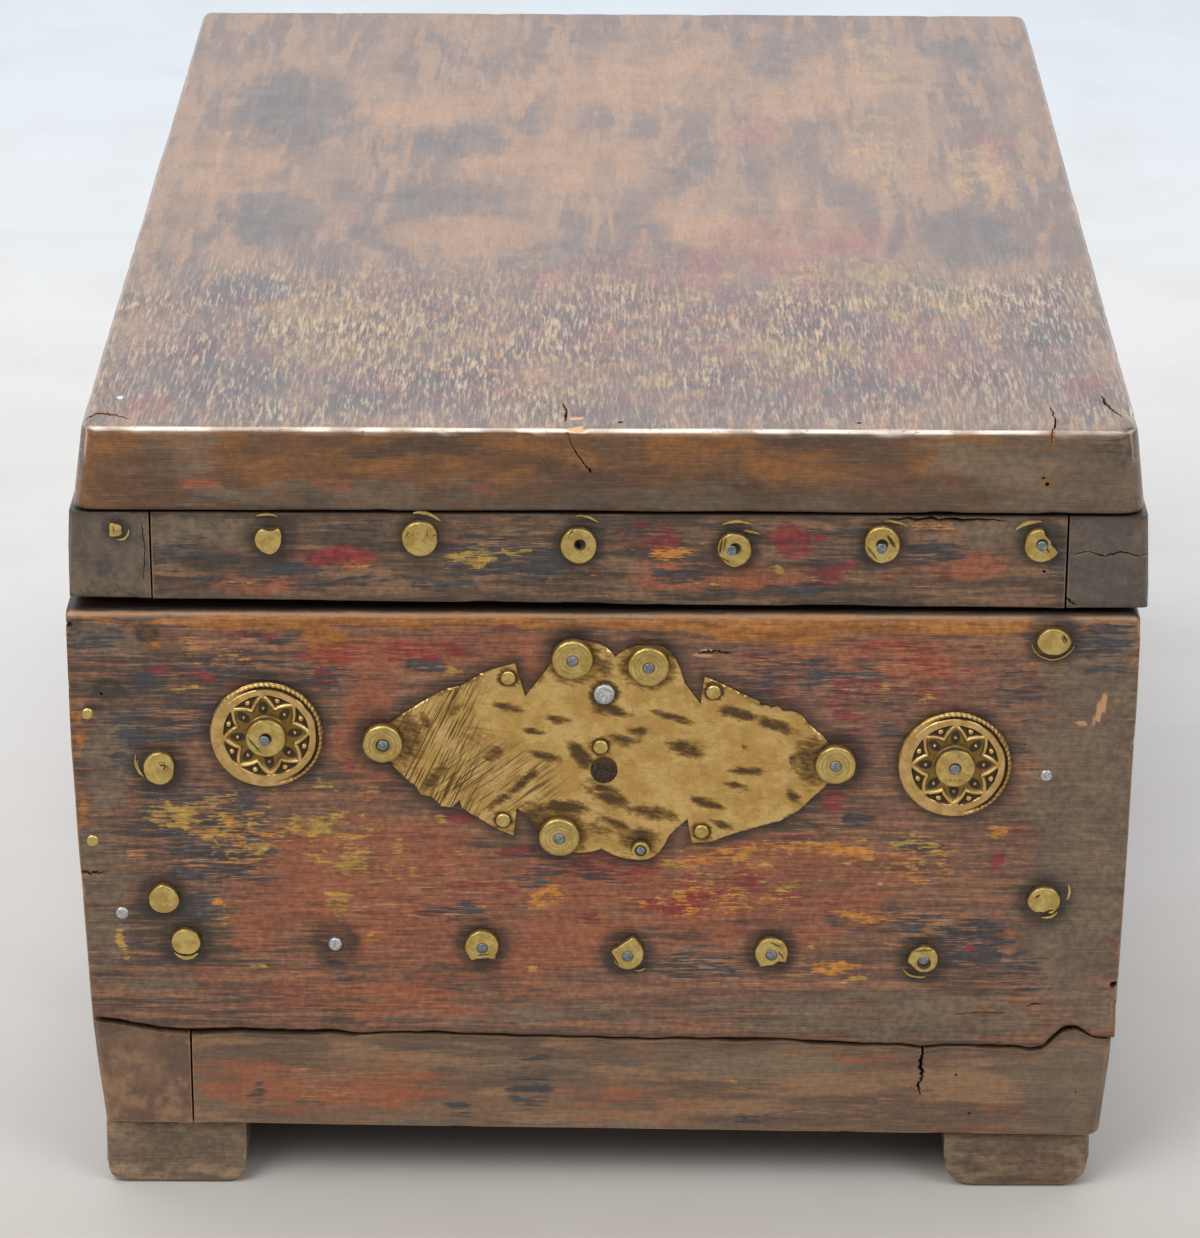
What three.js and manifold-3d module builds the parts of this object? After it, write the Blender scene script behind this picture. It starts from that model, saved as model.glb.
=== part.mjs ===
// Old hinged wooden box with brass studs, two pressed rosettes and a hand-cut brass plate.
// Millimetres, +X to the right seen from the front, +Y to the back, +Z up.
// Shapes are drawn with the front board's face at y = 0, the middle of the body at x = 0
// and the floor at z = 0. The finished group is moved so that the middle of its footprint
// is the origin.

import * as THREE from 'three';
import { mergeVertices } from 'three/addons/utils/BufferGeometryUtils.js';
import Module from 'manifold-3d';

const wasm = await Module();
wasm.setup();

// Clearances
const jointGap = 0.2; // hairline between two boards
const seatGap = 0.1; // between metal and what it is nailed to
const holeGap = 0.3; // round a shank in its hole, and past its point

// Body
const boxWidth = 254;
const boxDepth = 372;
const bodyHeight = 110.3;
const wallThickness = 19;
const bodyTaper = 2.3; // each side draws in by this much from rim to base
const floorThickness = 9;
const rimWear = 3; // worn step along the outer edge of the rim
const rimWearHeight = 2.2;
const rimWearSlope = 0.5;

// Base frame and feet
const baseHeight = 26.4;
const baseRailWidth = 24;
const baseDraw = 0.6; // the frame's foot is narrower than its top by this much a side
const footHeight = 16;
const footWidth = 34;
const footDepth = 42;
const footInset = 4.5;
const footRound = 5;

// Lid
const lidRest = 0.5; // the lid rides this far above the rim
const lidRailHeight = 24;
const lidRailThickness = 19.5;
const lidShift = 1.3; // the lid sits to the right of the body's middle
const lidSetback = 2; // its front stands behind the body's front
const lidOverhang = 0.4; // at its foot it is wider than the body by this much a side
const lidRailDraw = 1.1; // its rails lean in by this much
const topThickness = 20.2;
const topDraw = 2.6; // the top board leans in by this much below its rounded edge
const topRound = 2; // and its rounded edge takes this much more

// Studs: a brass dome with a nail through it
const studShank = 1.3;
const studShankLength = 8;
const studRim = 0.6;
const plateStudRadius = 5.1;
const plateStudHeight = 1.9;
const wornStudRadius = 3;
const wornStudHeight = 1.2;
const lidStudRadius = 4.5;
const lidStudHeight = 1.5;
const smallStudRadius = 2.4;
const lowerStudRadius = 4.4;
const lowerStudHeight = 1.5;
const nailRadius = 1.7;
const nailHeight = 0.8;

// Rows of studs: the count, how far the first and last lie from the ends, how high the row
// lies above the foot of its board, and how far each stud strays from the even row, x then z
const lidRow = {
  count: 7,
  insetLeft: 11.8,
  insetRight: 25.8,
  rise: 17.5,
  stray: [[0, 2.2], [0.2, 0.1], [-0.6, 1], [0.2, -0.6], [0.4, -1.4], [-1.3, -0.2], [0, 0]],
};
const lowerRow = {
  count: 6,
  insetLeft: 26.1,
  insetRight: 48.9,
  rise: 22.3,
  stray: [[0, 1.4], [0.4, 1.3], [0.3, 1], [-0.3, -1], [-1.2, -0.5], [0, -2.4]],
};
const bareNail = 1; // the second of the lower row has lost its dome
// The upper ones keep their drop below the rim, the lower ones their rise above the foot
const columnStuds = {
  left_upper: { inset: 21, drop: 40.1 },
  left_lower: { inset: 20.7, rise: 35.5 },
  right_upper: { inset: 20.6, drop: 6.1 },
  right_lower: { inset: 20.4, rise: 36.1 },
};

// Rosettes: a star in a ring, with a roped rim
const rosettePlaces = { left: { inset: 46.9, drop: 31.1 }, right: { inset: 43, drop: 38 } };
const rosetteRadius = 13.5;
const rosetteThickness = 2;
const rosetteField = 0.9;
const rosetteHub = 0.6; // the flat that its stud sits on stands this far above the field
const rosettePoints = 8;
const rosetteSteps = 6; // steps round for each point of the star
const rosetteHubRadius = 3.6;
const starRadius = 9.8;
const starWaist = 6.8;
const starRidge = 0.8; // half the ridge's width
const ropeDepth = 0.35;
const rosetteStudRadius = 5;
const rosetteStudHeight = 1.7;

// Lock plate
const plateShift = 1.4; // its middle lies this far to the right of the body's
const plateDrop = 35.7; // and this far below the rim
const plateTurn = -3.5; // degrees, it was nailed on a little crooked
const plateThickness = 1;
const plateHalfLength = 56.5; // at which the points below were measured
const plateEnds = 70.5; // its tips keep this far from the body's sides
const plateWaist = 25; // half the height between the two lobes of an edge

// The four corners, cut by hand with shears and so not alike. Each has the points of its
// ragged wing from the tip inwards, the sharp ear, the foot of the cut beside it, the shoulder
// of the lobe and the lobe's crown, all measured from the plate's middle.
const plateCorners = {
  top_right: {
    wing: [
      [52.6, 5.6], [50.6, 8], [47.1, 10.7], [45, 13.1], [42.8, 13.9], [40.7, 13.7], [39.3, 15],
      [37.8, 14.3], [36.8, 15], [35.4, 14.8], [34.8, 15.8], [24, 20.4],
    ],
    ear: [21.5, 21.3],
    notch: [21, 14.2],
    shoulder: [16.8, 19.4],
    lobe: [9.5, 28.6],
  },
  top_left: {
    wing: [[52.4, 4.4], [49.5, 6.9], [42.4, 12.4], [39.2, 14.2], [36, 15.2], [31.7, 18.4], [28.8, 19.9]],
    ear: [23.6, 21.8],
    notch: [20.7, 13.4],
    shoulder: [16, 20.7],
    lobe: [8, 28.6],
  },
  bottom_left: {
    wing: [
      [52.6, 4.8], [50.5, 7.3], [46.7, 10.7], [45.1, 12], [44.1, 13.7], [41.4, 14.2], [39.2, 16.4],
      [36.5, 16.6], [34.8, 14.3], [34.1, 16.6], [30, 19], [25.1, 21.7],
    ],
    ear: [21.4, 23],
    notch: [21, 15.4],
    shoulder: [16.6, 20.3],
    lobe: [8, 26.6],
  },
  bottom_right: {
    wing: [[53, 4.2], [50.5, 7.1], [46.5, 11.8], [42.1, 15], [32.3, 18.6], [25.9, 21.5]],
    ear: [21.6, 22.2],
    notch: [20, 15.8],
    shoulder: [15.8, 20.6],
    lobe: [9.3, 27.4],
  },
};

// What is nailed through the plate, from its middle
const plateStuds = {
  left: [-53.8, -0.4],
  right: [54.2, 1.3],
  top_left: [-10.1, 24.3],
  top_right: [8, 23.7],
  bottom_left: [-10.4, -22],
  bottom_right: [9.3, -24.2],
};
const wornStud = 'bottom_right'; // this stud is a small worn washer
const earPins = {
  top_left: [-25, 18.2],
  top_right: [23.8, 17.8],
  bottom_left: [-24.1, -18.9],
  bottom_right: [23.6, -18.7],
};
const earPinRadius = 1.75;
const pinHeight = 0.5;
const pinShank = 0.9;
const pinLength = 5;
const centrePin = [-2, 1.8];
const centreNail = [-2, 15.6];
const centrePlug = [-0.8, -4.2];
const centreNailRadius = 2.5;
const plugRadius = 3.25;

// Hinges, on the back
const hingeInset = 52; // from the body's side to the middle of the hinge
const hingeWidth = 40;
const leafThickness = 2;
const bodyLeafLength = 34;
const lidLeafLength = 18;
const knuckleRadius = 3.6;
const knuckleGap = 0.4;
const pinRadius = 1.6;
const pinClearance = 0.3;
const pinHead = 0.9; // how far the pin's spread ends stand out past the knuckles
const pinHeadRadius = 2.4;
const leafNailRadius = 3;
const leafNailHeight = 0.9;
const leafNailShank = 1.4;
const leafNailLength = 9;
const leafNailInset = 7;

// Facets
const domeSides = 14;
const pinSides = 10;
const smallHead = 3.3; // heads up to this radius have fewer sides
const holeSides = 10;
const knuckleSides = 20;
const curveSteps = 5;

// Levels and half sizes that follow
const baseLow = footHeight + jointGap;
const baseTop = baseLow + baseHeight;
const bodyLow = baseTop + jointGap;
const bodyTop = bodyLow + bodyHeight;
const floorLow = bodyLow;
const lidLow = bodyTop + lidRest;
const railTop = lidLow + lidRailHeight;
const topLow = railTop + jointGap;
const lidTop = topLow + topThickness;
const halfWidth = boxWidth / 2;
const baseHalfWidth = halfWidth - bodyTaper;
const innerHalfWidth = halfWidth - wallThickness;
const plateZ = bodyTop - plateDrop;
const plateStretch = (halfWidth - plateEnds) / plateHalfLength;
const hingeZ = (bodyTop + lidLow) / 2;
const hingeY = boxDepth + seatGap * 2 + knuckleRadius;

// Materials
const paint = (color, roughness, metalness = 0) =>
  new THREE.MeshStandardMaterial({ color, roughness, metalness, flatShading: true });
const bodyWood = paint('#6b3a26', 0.55);
const lidWood = paint('#5f3b28', 0.5);
const baseWood = paint('#6a4432', 0.6);
const innerWood = paint('#7d5a3e', 0.75);
const brass = paint('#b08a45', 0.35, 1);
const darkBrass = paint('#8f7038', 0.45, 1);
const iron = paint('#4a4440', 0.6, 1);

const box = new THREE.Group();
const body = new THREE.Group();
const lid = new THREE.Group();
box.add(body, lid);

function place(group, name, geometry, material) {
  const mesh = new THREE.Mesh(geometry, material);
  mesh.name = name;
  group.add(mesh);
}

// A solid for cutting, from a closed geometry
function toSolid(geometry) {
  const bare = geometry.clone();
  bare.deleteAttribute('normal');
  bare.deleteAttribute('uv');
  const merged = mergeVertices(bare, 1e-5);
  return new wasm.Manifold(new wasm.Mesh({
    numProp: 3,
    vertProperties: Float32Array.from(merged.attributes.position.array),
    triVerts: Uint32Array.from(merged.index.array),
  }));
}

function toGeometry(solid) {
  const mesh = solid.getMesh();
  const geometry = new THREE.BufferGeometry();
  geometry.setAttribute('position', new THREE.BufferAttribute(Float32Array.from(mesh.vertProperties), 3));
  geometry.setIndex([...mesh.triVerts]);
  geometry.computeVertexNormals();
  return geometry;
}

// A closed skin over rings of points that all have the same count. The rings run so that
// each one's points turn anticlockwise seen from the side that the rings move towards.
// An open stack is capped at both ends, and a looped one joins its last ring to its first.
function skin(rings, looped = false) {
  const count = rings[0].length;
  const positions = rings.flat().flat();
  const faces = [];
  const bands = looped ? rings.length : rings.length - 1;
  for (let band = 0; band < bands; band += 1) {
    const low = band * count;
    const high = ((band + 1) % rings.length) * count;
    for (let i = 0; i < count; i += 1) {
      const next = (i + 1) % count;
      faces.push(low + i, low + next, high + next, low + i, high + next, high + i);
    }
  }
  if (!looped) {
    const last = (rings.length - 1) * count;
    for (let i = 1; i < count - 1; i += 1) {
      faces.push(0, i + 1, i, last, last + i, last + i + 1);
    }
  }
  const geometry = new THREE.BufferGeometry();
  geometry.setAttribute('position', new THREE.Float32BufferAttribute(positions, 3));
  geometry.setIndex(faces);
  geometry.computeVertexNormals();
  return geometry;
}

// A block lofted through level rectangles, from the lowest up
function block(levels) {
  return skin(levels.map(({ z, left, right, front, back }) => [
    [left, front, z], [right, front, z], [right, back, z], [left, back, z],
  ]));
}

// A straight-sided block
function plank(left, right, front, back, low, high) {
  return block([low, high].map((z) => ({ z, left, right, front, back })));
}

function roundHole(x, z, front, back, radius) {
  const hole = new THREE.CylinderGeometry(radius, radius, back - front, holeSides);
  return toSolid(hole.translate(x, (front + back) / 2, z));
}

// Drills blind holes, each { x, z, depth, radius }, into a board from its front face
function drillFront(geometry, face, holes) {
  let solid = toSolid(geometry);
  for (const { x, z, depth, radius } of holes) {
    solid = solid.subtract(roundHole(x, z, face - 1, face + depth, radius));
  }
  return toGeometry(solid);
}

function drillBack(geometry, face, holes) {
  let solid = toSolid(geometry);
  for (const { x, z, depth, radius } of holes) {
    solid = solid.subtract(roundHole(x, z, face - depth, face + 1, radius));
  }
  return toGeometry(solid);
}

// Half the body's width at a height, from its taper
function bodyHalfWidth(z) {
  return baseHalfWidth + bodyTaper * ((z - bodyLow) / bodyHeight);
}

// Levels of the body's walls: the foot, the start of the worn step, the step and the rim
function wallLevels() {
  const stepLow = bodyTop - rimWearHeight;
  return [
    { z: bodyLow, wear: 0 },
    { z: stepLow, wear: 0 },
    { z: stepLow + rimWearSlope, wear: rimWear },
    { z: bodyTop, wear: rimWear },
  ];
}

function bodyFrontBoard(holes) {
  const levels = wallLevels().map(({ z, wear }) => ({
    z,
    left: wear - bodyHalfWidth(z),
    right: bodyHalfWidth(z) - wear,
    front: wear,
    back: wallThickness,
  }));
  return drillFront(block(levels), 0, holes);
}

function bodySideBoard(side) {
  const front = wallThickness + jointGap;
  const back = boxDepth - wallThickness - jointGap;
  return block(wallLevels().map(({ z, wear }) => {
    const outer = side * (bodyHalfWidth(z) - wear);
    const inner = side * innerHalfWidth;
    return { z, left: Math.min(outer, inner), right: Math.max(outer, inner), front, back };
  }));
}

function bodyBackBoard(holes) {
  const levels = [bodyLow, bodyTop].map((z) => ({
    z,
    left: -bodyHalfWidth(z),
    right: bodyHalfWidth(z),
    front: boxDepth - wallThickness,
    back: boxDepth,
  }));
  return drillBack(block(levels), boxDepth, holes);
}

// The floor lies on the base frame, inside the four walls
function floorBoard() {
  const reach = innerHalfWidth - jointGap;
  const inset = wallThickness + jointGap;
  return plank(-reach, reach, inset, boxDepth - inset, floorLow, floorLow + floorThickness);
}

// The rails of the base go round like a pinwheel: each one covers the end of the next, so
// that only the left rail's end shows at the front. Its sides draw in towards the feet.
function baseRail(left, right, front, back) {
  const drawn = (x, z) => (z > baseLow || Math.abs(x) < baseHalfWidth ? x : x - Math.sign(x) * baseDraw);
  return block([baseLow, baseTop].map((z) => ({
    z,
    left: drawn(left, z),
    right: drawn(right, z),
    front,
    back,
  })));
}

// A foot is a block whose lower edges are rounded over to the left and right
function foot(middleX, front) {
  const half = footWidth / 2;
  const outline = new THREE.Shape();
  outline.moveTo(-half, footHeight);
  outline.lineTo(-half, footRound);
  outline.absarc(-half + footRound, footRound, footRound, Math.PI, Math.PI * 1.5);
  outline.lineTo(half - footRound, 0);
  outline.absarc(half - footRound, footRound, footRound, Math.PI * 1.5, Math.PI * 2);
  outline.lineTo(half, footHeight);
  const geometry = new THREE.ExtrudeGeometry(outline, {
    depth: footDepth, bevelEnabled: false, curveSegments: curveSteps,
  });
  return geometry.rotateX(Math.PI / 2).translate(middleX, front + footDepth, 0);
}

// Half the lid's width at its foot, at the top of its rails and along the top board
const lidHalfLow = halfWidth + lidOverhang;
const lidHalfHigh = lidHalfLow - lidRailDraw;
const lidInnerHalf = lidHalfLow - lidRailThickness;

function lidSideRail(side, holes) {
  const levels = [lidLow, railTop].map((z) => {
    const outer = lidShift + side * (z === lidLow ? lidHalfLow : lidHalfHigh);
    const inner = lidShift + side * lidInnerHalf;
    const [left, right] = [Math.min(outer, inner), Math.max(outer, inner)];
    return { z, left, right, front: lidSetback, back: boxDepth };
  });
  return drillFront(block(levels), lidSetback, holes);
}

function lidCrossRail(front) {
  const reach = lidInnerHalf - jointGap;
  return plank(lidShift - reach, lidShift + reach, front, front + lidRailThickness, lidLow, railTop);
}

// The top board leans in on every side, and its upper edge is rounded over
function lidTopBoard() {
  const levels = [{ z: topLow, draw: 0 }];
  for (let step = 0; step <= curveSteps; step += 1) {
    const angle = (step / curveSteps) * (Math.PI / 2);
    levels.push({
      z: lidTop - topRound * (1 - Math.sin(angle)),
      draw: topDraw + topRound * (1 - Math.cos(angle)),
    });
  }
  return block(levels.map(({ z, draw }) => ({
    z,
    left: lidShift - lidHalfHigh + draw,
    right: lidShift + lidHalfHigh - draw,
    front: lidSetback + draw,
    back: boxDepth - draw,
  })));
}

// A domed head on a pointed shank, standing out towards -Y from a seat at y
function stud(x, y, z, radius, height, shank = studShank, length = studShankLength) {
  const crown = [[0.42, 1], [0.78, 0.76]].map(([r, h]) => new THREE.Vector2(r * radius, -h * height));
  const profile = [
    new THREE.Vector2(0, -height - radius * 0.04),
    ...crown,
    new THREE.Vector2(radius, -Math.min(studRim, height * 0.5)),
    new THREE.Vector2(radius, 0),
    new THREE.Vector2(shank, 0),
    new THREE.Vector2(shank, length - shank),
    new THREE.Vector2(0, length),
  ];
  const sides = radius > smallHead ? domeSides : pinSides;
  return new THREE.LatheGeometry(profile, sides).translate(x, y, z);
}

function shankHole(x, z, seat = 0, shank = studShank, length = studShankLength) {
  return { x, z, depth: length - seat + holeGap, radius: shank + holeGap };
}

// A pressed disc whose face is drawn by rings round a hole for its stud
function rosette(x, z) {
  const around = rosettePoints * rosetteSteps;
  const hole = studShank + holeGap;
  const ridge = (turn) => {
    const share = Math.abs(((turn * rosettePoints) % 1) * 2 - 1);
    return starWaist + (starRadius - starWaist) * share;
  };
  const rope = (i) => rosetteThickness + (i % 2 ? -ropeDepth : 0);
  const flat = (radius, height) => () => [radius, height];
  const profile = [
    flat(hole, 0),
    flat(rosetteRadius, 0),
    flat(rosetteRadius, rosetteThickness * 0.5),
    (i) => [rosetteRadius - 1, rope(i)],
    flat(rosetteRadius - 2, rosetteThickness * 0.8),
    flat(rosetteRadius - 2.5, rosetteField),
    flat(starRadius + 1, rosetteField + 0.4),
    (i) => [ridge(i / around) + starRidge, rosetteField - 0.2],
    (i) => [ridge(i / around), rosetteField + 0.6],
    (i) => [ridge(i / around) - starRidge, rosetteField],
    flat(rosetteHubRadius + starRidge, rosetteField),
    flat(rosetteHubRadius, rosetteField + rosetteHub),
    flat(hole, rosetteField + rosetteHub),
  ];
  const rings = profile.map((ring) => Array.from({ length: around }, (_, i) => {
    const [radius, height] = ring(i);
    const angle = (i / around) * Math.PI * 2;
    return [radius * Math.sin(angle), -seatGap - height, radius * Math.cos(angle)];
  }));
  return skin(rings.reverse(), true).translate(x, 0, z);
}

// From the plate's own middle and turn to the front of the box
function onPlate([x, z]) {
  const turn = (plateTurn * Math.PI) / 180;
  const along = x * plateStretch;
  return [
    plateShift + along * Math.cos(turn) - z * Math.sin(turn),
    plateZ + along * Math.sin(turn) + z * Math.cos(turn),
  ];
}

// A corner of the plate's edge, from the tip to the middle of the long side: a ragged wing
// up to the ear, the cut beside the ear, and the lobe that a stud holds
function cornerEdge({ wing, ear, notch, shoulder, lobe }) {
  const tip = new THREE.Vector2(plateHalfLength, 0);
  const sweep = [...wing, ear, notch].map((point) => new THREE.Vector2(...point));
  const [shoulderPoint, crown] = [shoulder, lobe].map((point) => new THREE.Vector2(...point));
  const waist = new THREE.Vector2(0, plateWaist);
  const bulge = new THREE.Vector2(lobe[0] + 4.6, lobe[1]);
  const rise = new THREE.QuadraticBezierCurve(shoulderPoint, bulge, crown).getPoints(curveSteps);
  const fall = new THREE.QuadraticBezierCurve(crown, new THREE.Vector2(lobe[0] * 0.3, lobe[1]), waist);
  return [tip, ...sweep, ...rise, ...fall.getPoints(curveSteps).slice(1)];
}

// The whole edge, anticlockwise from the right-hand tip
function plateOutline() {
  const edge = (name, side, up) => cornerEdge(plateCorners[name]).map(({ x, y }) => [side * x, up * y]);
  const loop = [
    ...edge('top_right', 1, 1),
    ...edge('top_left', -1, 1).reverse().slice(1),
    ...edge('bottom_left', -1, -1).slice(1),
    ...edge('bottom_right', 1, -1).reverse().slice(1, -1),
  ];
  return loop.map((point) => new THREE.Vector2(...onPlate(point)));
}

function lockPlate(holes) {
  const sheet = new THREE.ExtrudeGeometry(new THREE.Shape(plateOutline()), {
    depth: plateThickness, bevelEnabled: false,
  });
  sheet.rotateX(Math.PI / 2);
  sheet.translate(0, -seatGap, 0);
  let solid = toSolid(sheet);
  for (const { x, z, radius } of holes) {
    solid = solid.subtract(roundHole(x, z, -plateThickness - 2 * seatGap, 0, radius));
  }
  return toGeometry(solid);
}

// One hinge leaf: a plate with its share of the knuckles and its nails. It is drawn for
// the body, and turned over for the lid.
function hingeLeaf(middleX, length, knuckles, up, nails) {
  const third = hingeWidth / 3;
  const face = boxDepth + 2 * seatGap;
  const clear = knuckleRadius + knuckleGap;
  const away = (distance) => hingeZ + up * distance;
  const slab = (left, right, near, far) => toSolid(plank(
    left, right, face, face + leafThickness, Math.min(away(near), away(far)), Math.max(away(near), away(far)),
  ));
  let leaf = slab(middleX - hingeWidth / 2, middleX + hingeWidth / 2, clear, clear + length);
  for (const knuckle of knuckles) {
    const inner = knuckle.shy * knuckleGap;
    const left = middleX - hingeWidth / 2 + knuckle.start * third + inner;
    const right = middleX - hingeWidth / 2 + (knuckle.start + 1) * third - inner;
    const barrel = new THREE.CylinderGeometry(knuckleRadius, knuckleRadius, right - left, knuckleSides);
    barrel.rotateZ(Math.PI / 2).translate((left + right) / 2, hingeY, hingeZ);
    leaf = leaf.add(slab(left, right, 0, clear + knuckleGap)).add(toSolid(barrel));
  }
  const boreRadius = pinRadius + pinClearance;
  const bore = new THREE.CylinderGeometry(boreRadius, boreRadius, hingeWidth * 2, knuckleSides);
  leaf = leaf.subtract(toSolid(bore.rotateZ(Math.PI / 2).translate(middleX, hingeY, hingeZ)));
  for (const [x, z] of nails) {
    const nail = stud(0, 0, 0, leafNailRadius, leafNailHeight, leafNailShank, leafNailLength);
    nail.rotateX(Math.PI).translate(x, face + leafThickness - knuckleGap, z);
    leaf = leaf.add(toSolid(nail));
  }
  return toGeometry(leaf);
}

function leafNails(middleX, length, up) {
  const near = hingeZ + up * (knuckleRadius + knuckleGap + leafNailInset);
  const far = hingeZ + up * (knuckleRadius + knuckleGap + length - leafNailInset * 0.8);
  const side = hingeWidth / 2 - leafNailInset;
  const row = [[middleX - side, near], [middleX + side, near]];
  return length > 3 * leafNailInset ? [...row, [middleX, far]] : row;
}

// The pin has its ends spread so that it can't slide out
function hingePin(middleX) {
  const half = hingeWidth / 2;
  const end = half + pinHead;
  const profile = [
    [0, -end], [pinHeadRadius * 0.7, -end], [pinHeadRadius, -half - seatGap], [pinRadius, -half - seatGap],
    [pinRadius, half + seatGap], [pinHeadRadius, half + seatGap], [pinHeadRadius * 0.7, end], [0, end],
  ];
  const pin = new THREE.LatheGeometry(profile.map(([r, h]) => new THREE.Vector2(r, h)), knuckleSides);
  return pin.rotateZ(Math.PI / 2).translate(middleX, hingeY, hingeZ);
}

// What is nailed to the front of the body, with the holes that it needs
const bodyHoles = [];
const plateHoles = [];
const plateSeat = -2 * seatGap - plateThickness;

function nailToBody(name, [x, z], radius, height, material, options = {}) {
  const { seat = -seatGap, shank = studShank, length = studShankLength } = options;
  place(body, name, stud(x, seat, z, radius, height, shank, length), material);
  bodyHoles.push(shankHole(x, z, -seat, shank, length));
  if (seat === plateSeat) {
    plateHoles.push({ x, z, radius: shank + holeGap });
  }
}

// The places of a row's studs between two ends, above the foot of their board
function rowPlaces({ count, insetLeft, insetRight, rise, stray }, left, right, foot) {
  const pitch = (right - insetRight - left - insetLeft) / (count - 1);
  return stray.map(([dx, dz], index) => [left + insetLeft + pitch * index + dx, foot + rise + dz]);
}

rowPlaces(lowerRow, -halfWidth, halfWidth, bodyLow).forEach((spot, index) => {
  if (index === bareNail) {
    nailToBody(`lower_nail_${index + 1}`, spot, nailRadius, nailHeight, iron);
  } else {
    nailToBody(`lower_stud_${index + 1}`, spot, lowerStudRadius, lowerStudHeight, brass);
  }
});

for (const [name, { inset, rise, drop }] of Object.entries(columnStuds)) {
  const side = name.startsWith('left') ? -1 : 1;
  const spot = [side * (halfWidth - inset), drop ? bodyTop - drop : bodyLow + rise];
  nailToBody(`column_stud_${name}`, spot, lowerStudRadius, lowerStudHeight, brass);
}

for (const [name, { inset, drop }] of Object.entries(rosettePlaces)) {
  const x = (name === 'left' ? -1 : 1) * (halfWidth - inset);
  const z = bodyTop - drop;
  place(body, `rosette_${name}`, rosette(x, z), darkBrass);
  const seat = -2 * seatGap - rosetteField - rosetteHub;
  nailToBody(`rosette_stud_${name}`, [x, z], rosetteStudRadius, rosetteStudHeight, brass, { seat });
}

for (const [name, spot] of Object.entries(plateStuds)) {
  const radius = name === wornStud ? wornStudRadius : plateStudRadius;
  const height = name === wornStud ? wornStudHeight : plateStudHeight;
  nailToBody(`plate_stud_${name}`, onPlate(spot), radius, height, brass, { seat: plateSeat });
}
const smallPin = { seat: plateSeat, shank: pinShank, length: pinLength };
for (const [name, spot] of Object.entries(earPins)) {
  nailToBody(`plate_pin_${name}`, onPlate(spot), earPinRadius, pinHeight, brass, smallPin);
}
nailToBody('plate_centre_pin', onPlate(centrePin), earPinRadius, pinHeight, brass, smallPin);
nailToBody('plate_nail', onPlate(centreNail), centreNailRadius, nailHeight, iron, { seat: plateSeat });
nailToBody('plate_plug', onPlate(centrePlug), plugRadius, pinHeight, iron, smallPin);

place(body, 'lock_plate', lockPlate(plateHoles), brass);
place(body, 'body_front_board', bodyFrontBoard(bodyHoles), bodyWood);
place(body, 'body_left_board', bodySideBoard(-1), bodyWood);
place(body, 'body_right_board', bodySideBoard(1), bodyWood);
place(body, 'floor_board', floorBoard(), innerWood);

const baseInner = baseHalfWidth - baseRailWidth;
const baseBack = boxDepth - baseRailWidth;
place(body, 'base_left_rail', baseRail(-baseHalfWidth, -baseInner, 0, baseBack - jointGap), baseWood);
place(body, 'base_front_rail', baseRail(jointGap - baseInner, baseHalfWidth, 0, baseRailWidth), baseWood);
place(body, 'base_right_rail', baseRail(baseInner, baseHalfWidth, baseRailWidth + jointGap, boxDepth), baseWood);
place(body, 'base_back_rail', baseRail(-baseHalfWidth, baseInner - jointGap, baseBack, boxDepth), baseWood);

const footX = baseHalfWidth - footInset - footWidth / 2;
for (const [side, sign] of [['left', -1], ['right', 1]]) {
  place(body, `foot_front_${side}`, foot(sign * footX, footInset / 2), baseWood);
  place(body, `foot_back_${side}`, foot(sign * footX, boxDepth - footInset / 2 - footDepth), baseWood);
}

// Each stud of the lid goes into the rail that lies behind it
const lidHoles = { left: [], front: [], right: [] };
const lidLeft = lidShift - lidHalfLow;
const lidRight = lidShift + lidHalfLow;
rowPlaces(lidRow, lidLeft, lidRight, lidLow).forEach(([x, z], index) => {
  const radius = index === 0 ? smallStudRadius : lidStudRadius;
  const height = index === 0 ? nailHeight : lidStudHeight;
  place(lid, `lid_stud_${index + 1}`, stud(x, lidSetback - seatGap, z, radius, height), brass);
  const reach = x - lidShift;
  const rail = Math.abs(reach) < lidInnerHalf - jointGap ? 'front' : (reach < 0 ? 'left' : 'right');
  lidHoles[rail].push(shankHole(x, z));
});
place(lid, 'lid_front_rail', drillFront(lidCrossRail(lidSetback), lidSetback, lidHoles.front), lidWood);
place(lid, 'lid_left_rail', lidSideRail(-1, lidHoles.left), lidWood);
place(lid, 'lid_right_rail', lidSideRail(1, lidHoles.right), lidWood);
place(lid, 'lid_top_board', lidTopBoard(), lidWood);

// Hinges: the body's leaf holds the outer knuckles and the pin, the lid's the middle one
const bodyNailHoles = [];
const lidNailHoles = [];
for (const [side, sign] of [['left', -1], ['right', 1]]) {
  const middleX = sign * (halfWidth - hingeInset);
  const bodyNails = leafNails(middleX, bodyLeafLength, -1);
  const lidNails = leafNails(middleX, lidLeafLength, 1);
  const outer = [{ start: 0, shy: 0 }, { start: 2, shy: 0 }];
  const middle = [{ start: 1, shy: 1 }];
  place(body, `hinge_body_leaf_${side}`, hingeLeaf(middleX, bodyLeafLength, outer, -1, bodyNails), iron);
  place(lid, `hinge_lid_leaf_${side}`, hingeLeaf(middleX, lidLeafLength, middle, 1, lidNails), iron);
  place(body, `hinge_pin_${side}`, hingePin(middleX), iron);
  const hole = ([x, z]) => shankHole(x, z, leafThickness, leafNailShank, leafNailLength);
  bodyNailHoles.push(...bodyNails.map(hole));
  lidNailHoles.push(...lidNails.map(hole));
}
place(body, 'body_back_board', bodyBackBoard(bodyNailHoles), bodyWood);
const backRail = lidCrossRail(boxDepth - lidRailThickness);
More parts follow.
